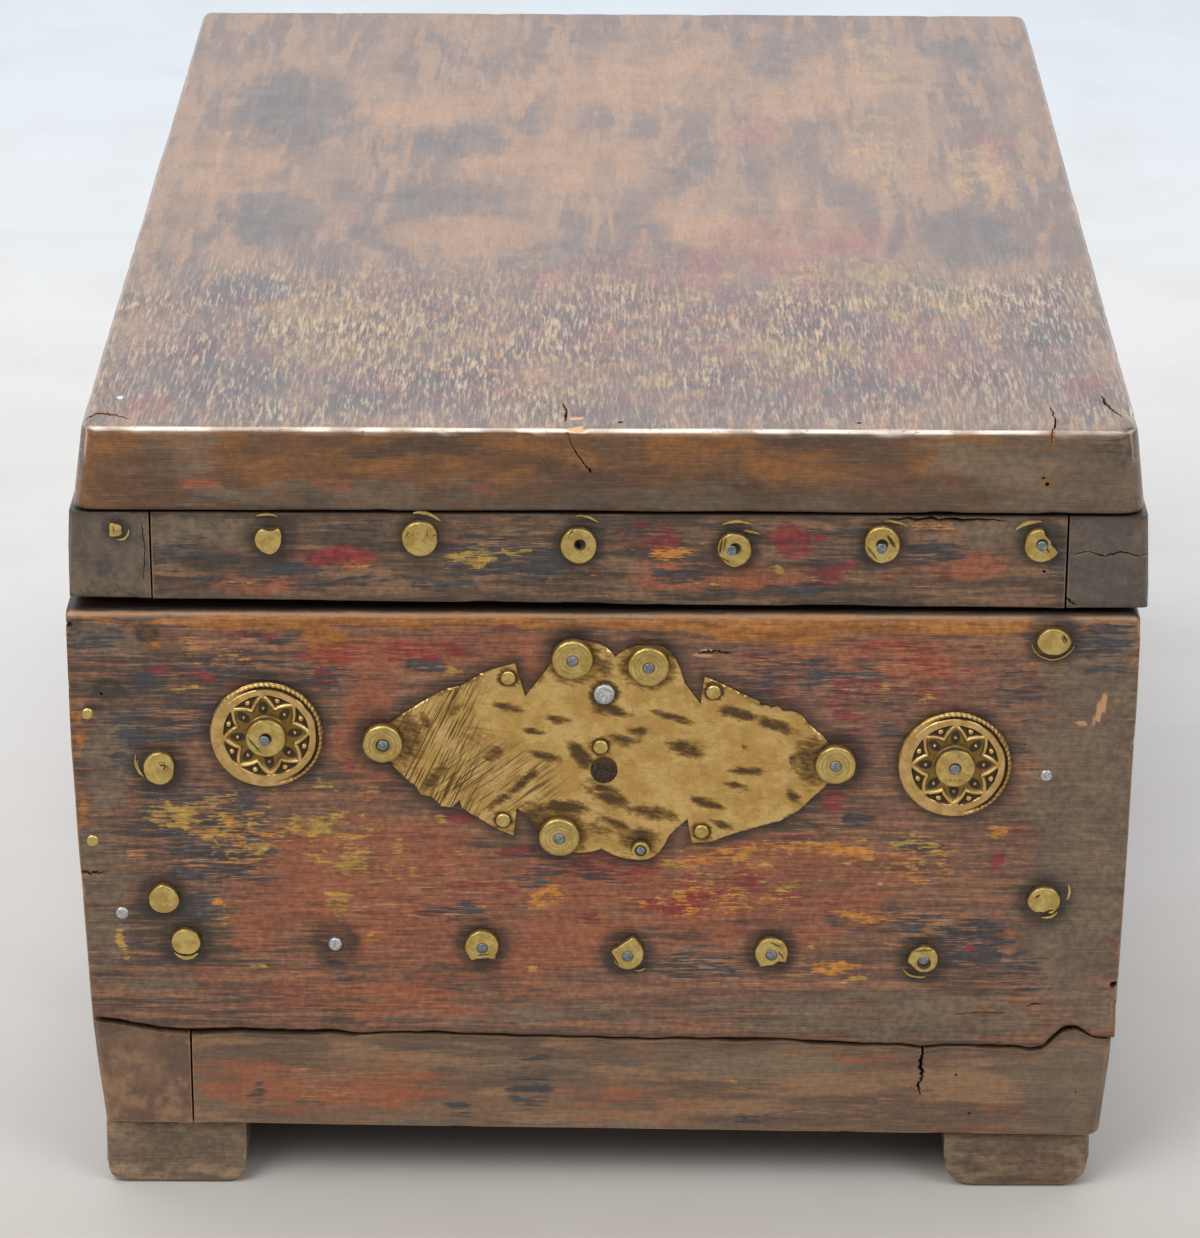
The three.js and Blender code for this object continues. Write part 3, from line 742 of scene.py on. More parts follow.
@dataclass(frozen=True)
class Crack:
    """A thin jagged wedge that is cut into a board.

    The line gives points as x and z, or as x and y on the lid's top. The width is that of its
    middle, since it closes towards its ends. The wedge begins at front, along y, or along z on
    the top, and goes depth deep.
    """

    line: tuple[tuple[float, float], ...]
    width: float
    front: float
    depth: float
    seed: int = 0
    top: bool = False

    MIN_STEPS = 8
    STEPS_PER_POINT = 5

    def cutter(self) -> Piece:
        """Models the wedge."""
        rng = random.Random(self.seed)
        cutter = unit_strip("crack", max(self.MIN_STEPS, self.STEPS_PER_POINT * len(self.line)))
        points = points_of(cutter)
        share = points[:, 0]
        key = [round(s, 5) for s in share]
        places = sorted(set(key))
        jag = {p: rng.uniform(-0.35, 0.35) * self.width for p in places}
        thick = {p: self.thickness(p) * rng.uniform(0.55, 1.1) for p in places}
        spots = np.array(self.line, float)
        reach = np.r_[0, np.cumsum(np.hypot(*np.diff(spots, axis=0).T))]
        along, up = (np.interp(share, reach / reach[-1], column) for column in spots.T)
        direction = spots[-1] - spots[0]
        direction = direction / np.hypot(*direction)
        offset = (points[:, 2] - 0.5) * [thick[k] for k in key] + [jag[k] for k in key]
        inward = points[:, 1] > 0.5
        offset = np.where(inward, offset * 0.4, offset)
        away = np.where(inward, self.depth, -1.0)
        along = along - direction[1] * offset
        up = up + direction[0] * offset
        rows = (along, up, self.front - away) if self.top else (along, self.front + away, up)
        move_points(cutter, np.column_stack(rows))
        mend_normals(cutter)
        return cutter

    def thickness(self, share: float) -> float:
        """The wedge's width at a share of its length."""
        return self.width * (0.08 + math.sin(math.pi * share) ** 0.6)


@dataclass(frozen=True)
class Hole:
    """A worm or nail hole: the place of its mouth, its radius, its depth and the face it goes into."""

    x: float
    y: float
    z: float
    radius: float
    depth: float
    face: Side = Side.FRONT

    def cutter(self) -> Piece:
        """Models a rough round cone that narrows inwards."""
        turn = {0: (0, math.pi / 2, 0), 1: (math.pi / 2, 0, 0), 2: (0, 0, 0)}[self.face.value[0]]
        deselect_all()
        bpy.ops.mesh.primitive_cone_add(
            vertices=9, radius1=self.radius * MM, radius2=self.radius * 0.8 * MM,
            depth=2 * self.depth * MM, location=PLACE.at(self.x, self.y, self.z), rotation=turn)
        cutter = bpy.context.active_object
        bpy.ops.object.transform_apply()
        return cutter


# Boards

@dataclass(frozen=True)
class Patch:
    """Where a coat of paint is left on a board: middle, half sizes and strength."""

    u: float
    v: float
    half_u: float
    half_v: float
    strength: float = 0.8


# How far the borders of the paint patches sway, along a board and across it, and over what size
LONG_SWAY, SHORT_SWAY, SWAY_SIZE = 5.0, 2.0, 14.0


@dataclass(frozen=True)
class Bite:
    """A chip or dent: a ball that pushes the board's skin in."""

    x: float
    y: float
    z: float
    radius: float
    pale: float = 0.0


def field_of(patches: tuple[Patch, ...], u: Array, v: Array) -> Array:
    """How strongly a set of patches covers each point.

    Args:
        patches: the patches.
        u: first coordinate of the points.
        v: second coordinate.

    Returns:
        The highest strength at each point.
    """
    cover = np.zeros(len(u))
    for patch in patches:
        reach = np.hypot((u - patch.u) / patch.half_u, (v - patch.v) / patch.half_v)
        cover = np.maximum(cover, patch.strength * (1 - ease(0.45, 1.35, reach)))
    return cover


def stroke_reach(stroke: tuple[float, ...], x: Array, z: Array) -> Array:
    """How far each point lies from a thin stroke's middle, where its rim lies at 1.

    Args:
        stroke: middle x and z, half length, half width and tilt in degrees.
        x: the points' first coordinate, from the same middle.
        z: the points' second coordinate.

    Returns:
        The distance of each point.
    """
    middle_x, middle_z, half_long, half_wide, tilt = stroke
    turn = math.radians(tilt)
    along = (x - middle_x) * math.cos(turn) + (z - middle_z) * math.sin(turn)
    across = (z - middle_z) * math.cos(turn) - (x - middle_x) * math.sin(turn)
    return np.hypot(along / half_long, across / half_wide)


def strokes_at(strokes: tuple[tuple[float, ...], ...], x: Array, z: Array) -> Array:
    """How strongly thin strokes cover each point, from 0 to 1."""
    cover = np.zeros(len(x))
    for stroke in strokes:
        cover = np.maximum(cover, 1 - ease(0.6, 1.5, stroke_reach(stroke, x, z)))
    return cover


# How far from a close joint the edges stay crisp, and how little they are rounded there
TIGHT_REACH, TIGHT_ROUND = 3.0, 0.12


@dataclass
class Board:
    """A board that stands for one node: its outline, wear, paint and damage."""

    node: str
    body: str
    slot: str
    finish: Material
    cell: Triple = (5.0, 5.0, 5.0)
    lean: dict[Side, tuple[float, float]] = field(default_factory=dict)
    round: float = 1.0
    corners: dict[tuple[Side, Side], float] = field(default_factory=dict)
    wave: float = 0.3
    tight: tuple[Side, ...] = ()
    outer: tuple[Side, ...] = ()
    paintwork: dict[Side, dict[str, tuple[Patch, ...]]] = field(default_factory=dict)
    bites: tuple[Bite, ...] = ()
    cuts: tuple[Crack | Hole, ...] = ()
    seed: int = 0

    def make(self) -> Piece:
        """Models the board, lays its wear and paint on its points, cuts it and dresses it."""
        self.low, self.high = PLACE.box(self.node)
        self.piece = grid_block(self.node + "_worn", self.low, self.high, self.cell)
        self.square = points_of(self.piece)
        self.shape()
        self.mark()
        cut_away(self.piece, [cut.cutter() for cut in self.cuts])
        smooth(self.piece)
        return dress(self.piece, self.finish, self.body, self.slot, self.node)

    def off(self, side: Side) -> Array:
        """How far each square point lies from one of the board's faces."""
        axis, end = side.value
        return np.abs(self.square[:, axis] - (self.high if end else self.low)[axis])

    @property
    def below(self) -> Array:
        """How much of the board lies below each square point."""
        return self.square[:, 2] - self.low[2]

    @property
    def above(self) -> Array:
        """How much of the board lies above each square point."""
        return self.high[2] - self.square[:, 2]

    def radius_at(self, points: Array) -> Array:
        """How far the board's edges are rounded off at each point."""
        swing = noise_at(points, 28, self.seed + 1)
        chip = ease(0.25, 0.6, noise_at(points, 7, self.seed + 2))
        return self.round * (0.75 + 0.45 * swing + 0.7 * chip)

    def shape(self) -> None:
        """Rounds the edges unevenly, leans the faces and lets them wave a little."""
        points = self.square
        radius = np.clip(self.radius_at(points), 0.15, 3.6)
        for side in self.tight:
            radius = np.where(self.off(side) < TIGHT_REACH, TIGHT_ROUND, radius)
        radius = radius[:, None]
        core = np.clip(points, self.low + radius, self.high - radius)
        away = points - core
        length = np.maximum(np.linalg.norm(away, axis=1, keepdims=True), 1e-9)
        outward = away / length
        sunk = 0.5 + 0.5 * noise_at(points, 55, self.seed + 3)
        ripple = 0.5 + 0.5 * noise_at(points, 13, self.seed + 4)
        inset = self.wave * (0.7 * sunk + 0.3 * ripple)
        moved = core + outward * (radius - inset[:, None])
        ranked = np.sort(np.abs(away) / radius, axis=1)
        self.arris = ranked[:, 1]
        for (side, end), reach in self.corners.items():
            moved = self.rounded(moved, side, end, reach)
        moved = self.leaned(moved)
        self.scars = np.zeros(len(points))
        for bite in self.bites:
            moved = self.bitten(moved, bite)
        self.points = moved
        self.settle()
        move_points(self.piece, self.points)

    def rounded(self, points: Array, side: Side, end: Side, reach: float) -> Array:
        """Rounds off one upright corner.

        Args:
            points: the points so far.
            side: the left or right face at the corner.
            end: the front or back face at the corner.
            reach: how large the round is, in millimetres.

        Returns:
            The moved points.
        """
        away = np.zeros((len(points), 2))
        reach = reach * (1 + 0.15 * noise_at(points * [0, 0, 1], 9, self.seed))
        for column, (axis, far) in enumerate((side.value, end.value)):
            middle = self.high[axis] - reach if far else self.low[axis] + reach
            away[:, column] = np.maximum(0, (points[:, axis] - middle) * (1 if far else -1))
        length = np.hypot(*away.T)
        outside = (away.min(1) > 0) & (length > reach)
        pull = away * (1 - reach / np.maximum(length, 1e-6))[:, None]
        moved = points.copy()
        for column, (axis, far) in enumerate((side.value, end.value)):
            moved[outside, axis] -= (1 if far else -1) * pull[outside, column]
        return moved

    def leaned(self, points: Array) -> Array:
        """Draws the faces in or out between the board's foot and its top."""
        span = self.high - self.low
        height = (points[:, 2] - self.low[2]) / span[2]
        moved = points.copy()
        for side, (foot, top) in self.lean.items():
            axis, end = side.value
            share = (points[:, axis] - self.low[axis]) / span[axis]
            share = share if end else 1 - share
            draw = foot + (top - foot) * height
            moved[:, axis] += (-1 if end else 1) * draw * share
        return moved

    def bitten(self, points: Array, bite: Bite) -> Array:
        """Pushes the skin out of a ball, unevenly."""
        centre = np.array([bite.x, bite.y, bite.z])
        away = points - centre
        far = np.linalg.norm(away, axis=1)
        near = far < bite.radius * 1.3
        if not near.any():
            return points
        moved = points.copy()
        ragged = np.ones(len(points))
        ragged[near] = 1 + 0.22 * noise_at(points[near], bite.radius * 0.5, self.seed + 5)
        edge = bite.radius * ragged
        inside = far < edge
        away[:, 2] -= 1e-6
        inward = np.sign((self.low + self.high) / 2 - centre) * 1e-3
        push = (away + inward) / np.maximum(far, 1e-6)[:, None]
        moved[inside] = centre + push[inside] * edge[inside, None]
        moved = np.clip(moved, self.low, self.high)
        self.scars = np.maximum(self.scars, np.where(inside, bite.pale, 0))
        return moved

    def settle(self) -> None:
        """Further moves of a particular board's points. None here."""

    def mark(self) -> None:
        """Lays arris wear, bare inner faces, scars and paint on the points."""
        paint(self.piece, "arris", ease(0.35, 0.95, self.arris) * self.outward_share())
        paint(self.piece, "bare", 1 - self.outward_share())
        paint(self.piece, "scar", self.scars)
        covers: dict[str, Array] = {}
        for side, coats in self.paintwork.items():
            near = 1 - ease(1.5, 3.0, self.off(side))
            along, up = (self.square[:, axis] for axis in range(3) if axis != side.value[0])
            sway = LONG_SWAY * noise_at(self.square, SWAY_SIZE, self.seed + 6)
            rise = SHORT_SWAY * noise_at(self.square, SWAY_SIZE * 0.6, self.seed + 7)
            for name, patches in coats.items():
                cover = near * field_of(patches, along + sway, up + rise)
                covers[name] = np.maximum(covers.get(name, 0), cover)
        for name, cover in covers.items():
            paint(self.piece, name, cover)

    def outward_share(self) -> Array:
        """1 on the points of the board's outer faces and 0 on its hidden ones."""
        share = np.zeros(len(self.square))
        for side in self.outer:
            share = np.maximum(share, 1 - ease(2.5, 4.0, self.off(side)))
        return share


def halo(points: Array, spots: list[Triple], inner: float,
         outer: float) -> Array:
    """Dark soiling that gathers round fittings.

    Args:
        points: points of a board.
        spots: x, z and radius of each fitting.
        inner: where the grime is full, in radii.
        outer: where it ends, in radii.

    Returns:
        Its strength at each point.
    """
    dark = np.zeros(len(points))
    for x, z, radius in spots:
        far = np.hypot(points[:, 0] - x, points[:, 2] - z) / radius
        dark = np.maximum(dark, 1 - ease(inner, outer, far))
    return dark


# How close together points lie along a fitting's outline, in millimetres
OUTLINE_STEP = 0.4


def distance_to(outline: list[Vector], points: Array) -> Array:
    """How far each point is from an outline in the front's plane, in millimetres.

    Args:
        outline: points of the outline, as x, 0 and z.
        points: the points to measure from.

    Returns:
        The distance of each point.
    """
    tree = kdtree.KDTree(len(outline))
    for index, spot in enumerate(outline):
        tree.insert(spot, index)
    tree.balance()
    return np.array([tree.find((p[0], 0.0, p[2]))[2] for p in points])


# The line where the body sits on its base, as it runs along the front
SEAM_LINE = (
    (-127, 45.9), (-122.5, 45.7), (-115, 44.4), (-108, 42.9), (-98, 42.5), (-89, 42.9), (-80, 42.4),
    (-66, 42.7), (-61, 41.9), (-50, 42.2), (-25, 41.5), (0, 41.0), (24, 40.8), (40, 40.9), (52, 40.2),
    (73, 39.5), (78, 38.6), (84, 39.4), (95, 39.3), (104, 38.7), (108, 39.4), (113, 44.4), (116, 44.6),
    (120, 41.9), (127, 41.2),
)
SEAM_REACH = 15.0


def seam_shift(points: Array) -> Array:
    """How far the seam of body and base lies from its level place at each point."""
    places, levels = np.array(SEAM_LINE).T
    jagged = 0.35 * noise_at(np.column_stack([points[:, 0], points[:, 0] * 0, points[:, 0] * 0]), 5, 3)
    line = np.interp(points[:, 0], places, levels) + jagged
    return (line - BODY_LOW) * (1 - ease(0, SEAM_REACH, points[:, 1]))


@dataclass
class FrontBoard(Board):
    """The body's front, with most of the old paint and all the fittings."""

    rim: float = 3.0

    # Shallow knots in the upper left corner: x, z and radius
    KNOTS = ((-108.0, 147.4, 2.1), (-117.5, 133.0, 2.8), (-121.0, 128.4, 1.2))

    # Fresh scars in bare wood: x, z, half length, half width and tilt in degrees
    SCARS = ((118.4, 129.4, 4.6, 0.9, 72), (114.0, 125.4, 2.0, 0.6, 20), (24.5, 143.2, 3.4, 0.7, 4))

    def radius_at(self, points: Array) -> Array:
        """Adds the rubbed upper edge."""
        plain = super().radius_at(points)
        near_rim = 1 - ease(3.5, 6.0, self.high[2] - points[:, 2])
        return plain + near_rim * (self.rim * (0.85 + 0.15 * noise_at(points, 18, 9)) - plain)

    def settle(self) -> None:
        """Lets the foot of the board follow the uneven seam."""
        self.points[:, 2] += seam_shift(self.points) * (1 - ease(0, 12, self.below))

    def mark(self) -> None:
        """Adds dark soiling round the fittings and along the seam, and painted shade on the rim's top
        under the lid's gap.
        """
        super().mark()
        points = self.points
        studs = Fittings.halo_spots("body")
        dark = halo(points, studs, 1.2, 1.95)
        dark = np.maximum(dark, halo(points, [Fittings.spot("lower_nail_2")], 2.6, 4.6))
        rosettes = Fittings.halo_spots("rosette")
        dark = np.maximum(dark, 0.85 * halo(points, rosettes, 1.0, 1.28))
        close = distance_to(Fittings.outline_points("lock_plate"), points)
        dark = np.maximum(dark, 0.9 * (1 - ease(0.6, 4.2, close)))
        for x, z, radius in self.KNOTS:
            far = np.hypot(points[:, 0] - x, (points[:, 2] - z) * 1.2) + 0.5 * noise_at(points, 2.0, 17)
            dark = np.maximum(dark, 1 - ease(0.5, 1.3, np.abs(far - radius)))
            dark = np.maximum(dark, 0.55 * (1 - ease(radius * 0.7, radius, far)))
        seam = points[:, 2] - self.low[2] - seam_shift(points)
        dark = np.maximum(dark, 0.55 * (1 - ease(0.0, 2.2, np.abs(seam))))
        front = 1 - ease(2.0, 6.0, points[:, 1])
        inward, above = points[:, 1], self.above
        # Painted shade on the rim's top just behind its front, where the gap under the lid lies, fading
        # further back
        shaded = ease(0.9, 1.9, inward) * (1 - 0.8 * ease(6, 12, inward)) * (1 - ease(3.0, 5.0, above))
        paint(self.piece, "grime_and_shade", np.maximum(dark * front, shaded))
        scars = strokes_at(self.SCARS, points[:, 0], points[:, 2])
        paint(self.piece, "scar", np.maximum(self.scars, scars * front))
        # Near-black painted shade along the same strip, just behind the front lip
        rim = ease(1.7, 2.6, inward) * (1 - ease(4.5, 10, inward)) * (1 - ease(2.4, 3.4, above))
        paint(self.piece, "painted_deep_shade", 0.92 * rim)


class Fittings:
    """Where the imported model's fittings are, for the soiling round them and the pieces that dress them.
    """

    STUDS = [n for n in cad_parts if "stud" in n and "rosette" not in n]
    PINS = [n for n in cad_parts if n.startswith("plate_pin") or n == "plate_centre_pin"]
    ON_BODY = ("lower", "column", "plate_stud")

    @staticmethod
    def spot(node: str) -> Triple:
        """A round fitting's middle, as x and z, and its radius."""
        low, high = PLACE.box(node)
        return ((low[0] + high[0]) / 2, (low[2] + high[2]) / 2, (high[2] - low[2]) / 2)

    @classmethod
    def halo_spots(cls, group: str) -> list[Triple]:
        """Middles and radii of the fittings of one group."""
        names = {
            "body": [n for n in cls.STUDS if n.startswith(cls.ON_BODY)] + ["lower_nail_2"],
            "rosette": ["rosette_left", "rosette_right"],
            "lid": [n for n in cls.STUDS if n.startswith("lid")],
        }[group]
        return [cls.spot(n) for n in names]

    @staticmethod
    def outline_points(node: str) -> list[Vector]:
        """Points close together along a flat fitting's outline and holes, as x, 0 and z."""
        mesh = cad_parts[node].data
        low, high = PLACE.box(node)
        front = low[1] + (high[1] - low[1]) / 4
        places = [PLACE.to_front(vertex.co) for vertex in mesh.vertices]
        sides: dict[tuple, int] = {}
        for face in mesh.polygons:
            if abs(face.normal.y) > 0.5:
                continue
            spots = {tuple(np.round(places[i], 2)) for i in face.vertices if places[i][1] < front}
            if len(spots) == 2:
                sides[tuple(sorted(spots))] = 1
        points = []
        for start, end in sides:
            count = max(2, math.ceil(math.dist(start, end) / OUTLINE_STEP))
            for share in np.linspace(0, 1, count):
                x, _, z = np.array(start) + (np.array(end) - np.array(start)) * share
                points.append(Vector((x, 0, z)))
        return points


@dataclass
class BaseRail(Board):
    """A rail of the base frame, whose upper edge follows the seam at the front."""

    # Where the joint below the body stands open: from, to and how wide, in millimetres
    OPEN_SPANS = (
        (-127.0, -60.0, 0.75), (29.0, 42.0, 0.5), (49.0, 67.0, 0.5), (92.0, 100.0, 0.5),
        (103.0, 117.0, 0.7),
    )

    def settle(self) -> None:
        """Bends the upper edge to the seam and lets the lower one run down to the right."""
        gap = 0.08 + 0.12 * ease(-0.1, 0.5, noise_at(self.points * [1, 0, 0], 9, 6))
        for start, end, width in self.OPEN_SPANS:
            x = self.points[:, 0]
            gap = gap + width * ease(start - 2, start + 3, x) * (1 - ease(end - 3, end + 2, x))
        front = 1 - ease(0, SEAM_REACH, self.points[:, 1])
        self.points[:, 2] += (seam_shift(self.points) - gap * front) * (1 - ease(0, 12, self.above))
        self.points[:, 2] += base_drop(self.points) * (1 - ease(0, 14, self.below))

    def mark(self) -> None:
        """Adds dark soiling along the seam."""
        super().mark()
        front = 1 - ease(2.0, 6.0, self.points[:, 1])
        paint(self.piece, "grime_and_shade", 0.6 * (1 - ease(0.0, 2.4, self.above)) * front)


def base_drop(points: Array) -> Array:
    """How far the foot of the base lies above or below its level place at the front."""
    slope = np.interp(points[:, 0], (-124, 124), (0.9, -1.7))
    return slope * (1 - ease(0, 60, points[:, 1]))


@dataclass
class Foot(Board):
    """A block foot with worn lower edges."""

    corner: float = 5.0

    def radius_at(self, points: Array) -> Array:
        """Keeps the upper edges crisp, since they meet the base."""
        plain = super().radius_at(points)
        low_down = 1 - ease(6.0, 10.0, points[:, 2] - self.low[2])
        return plain + low_down * 0.5

    def settle(self) -> None:
        """Rounds the lower edges over and fits the top to the base."""
        span = (self.high - self.low)[0] / 2
        middle = (self.high + self.low)[0] / 2
        aside = np.abs(self.square[:, 0] - middle)
        over = np.clip(aside - (span - self.corner), 0, self.corner)
        lift = self.corner - np.sqrt(np.maximum(self.corner ** 2 - over ** 2, 0))
        self.points[:, 2] += lift * (1 - ease(0, 8, self.below))
        self.points[:, 2] += base_drop(self.points) * ease(4, 16, self.below)


@dataclass
class LidRail(Board):
    """A rail of the lid. Its lower edge stands a little higher to the left."""

    def settle(self) -> None:
        """Lifts the lower front edge unevenly."""
        rise = np.interp(self.points[:, 0], (-126, 0, 60, 128), (2.2, 0.9, 0.7, 0.5))
        rise = rise + 0.25 * ease(0.0, 0.5, noise_at(self.points * [1, 0, 0], 22, 8))
        front = 1 - ease(0, 30, self.points[:, 1] - 2)
        self.points[:, 2] += rise * front * (1 - ease(0, 9, self.below))

    def mark(self) -> None:
        """Adds dark soiling round the lid's studs, darkens both edges, and lays near-black painted shade
        on the underside at the gap and along the upper edge.
        """
        super().mark()
        dark = 0.95 * halo(self.points, Fittings.halo_spots("lid"), 1.1, 1.7)
        below, above = self.below, self.above
        # Painted shade: near black on the underside, over the gap to the body
        gap = 0.85 * (1 - ease(0.2, 0.9, below)) * (1 - ease(0.0, 0.5, below))
        # Darker towards both edges; along the lower edge this is painted shade over the gap
        dark = np.maximum(dark, 0.5 * (1 - ease(0.4, 3.0, above)))
        dark = np.maximum(dark, 0.35 * (1 - ease(0.4, 3.0, below)))
        front = 1 - ease(4.0, 8.0, self.points[:, 1])
        paint(self.piece, "grime_and_shade", dark * front)
        # Near-black painted shade also along the upper edge, in the slit below the top board
        paint(self.piece, "painted_deep_shade", np.maximum(gap, 0.8 * front * (1 - ease(0.2, 0.7, above))))


# How squarely a face of the top board looks forward to count as its front edge
EDGE_TURN = 0.7


@dataclass
class TopBoard(Board):
    """The lid's top board, with its rounded upper edge."""

    edge_finish: Material | None = None

    def radius_at(self, points: Array) -> Array:
        """The upper edge is rounded more than the lower one."""
        plain = super().radius_at(points)
        upper = ease(8.0, 12.0, points[:, 2] - self.low[2])
        return plain * 0.6 + upper * 1.1

    def mark(self) -> None:
        """Darkens the lower part of the front edge, lays near-black painted shade at its foot above the
        rail, and paints a near-white highlight on the worn arris.
        """
        super().mark()
        x, y = self.points[:, 0], self.points[:, 1]
        below = self.below
        front = 1 - ease(3.0, 8.0, y)
        # Darker towards the foot of the front edge; the near-black band at the very foot is painted shade
        # in the slit above the rail
        paint(self.piece, "grime_and_shade", front * 0.3 * (1 - ease(1.0, 9.0, below)))
        paint(self.piece, "painted_deep_shade", front * 0.8 * (1 - ease(0.2, 0.8, below)))
        # Near-white edge colour on the rubbed front arris, and weaker on the other upper edges: a painted
        # highlight on the worn edges
        between = 1 - ease(119, 123, np.abs(x))
        broken = 0.3 + 0.7 * ease(-0.35, 0.1, noise_at(self.points, 9, 15))
        rubbed = front * ease(10, 14, below) * between * broken * (1 - 0.8 * ease(98, 110, x))
        others = 0.25 * (1 - front) * ease(10, 14, below)
        paint(self.piece, "arris", ease(0.25, 0.8, self.arris) * (rubbed + others))
        reach = y + 16 * noise_at(self.points, 34, 5)
        patchy = 0.6 + 0.6 * noise_at(self.points, 20, 7)
        paint(self.piece, "ridged", (1 - ease(95, 150, reach)) * patchy * ease(0, 12, y))

    def make(self) -> Piece:
        """Gives the front edge its own finish, whose grain runs across."""
        piece = super().make()
        piece.data.materials.append(self.edge_finish)
        normals = np.empty(len(piece.data.polygons) * 3)
        piece.data.polygons.foreach_get("normal", normals)
        edge = normals.reshape(-1, 3)[:, 1] < -EDGE_TURN
        piece.data.polygons.foreach_set("material_index", edge.astype(np.int32))
        return piece


def scattered(rng: random.Random, box: tuple[float, float, float, float], count: int,
              size: tuple[float, float], strength: float) -> tuple[Patch, ...]:
    """Patches strewn over a face that the photograph doesn't show.

    Args:
        rng: the source of chance.
        box: least and greatest of both coordinates.
        count: how many patches.
        size: half sizes of a middling patch.
        strength: the strongest a patch may be.

    Returns:
        The patches.
    """
    return tuple(
        Patch(rng.uniform(box[0], box[1]), rng.uniform(box[2], box[3]),
              size[0] * rng.uniform(0.5, 1.6), size[1] * rng.uniform(0.5, 1.6),
              strength * rng.uniform(0.6, 1.0))
        for _ in range(count)
    )


def paintwork(**coats: tuple[tuple[float, ...], ...]) -> dict[str, tuple[Patch, ...]]:
    """Patches of each coat, from rows of middle, half sizes and strength."""
    return {name: tuple(Patch(*row) for row in rows) for name, rows in coats.items()}


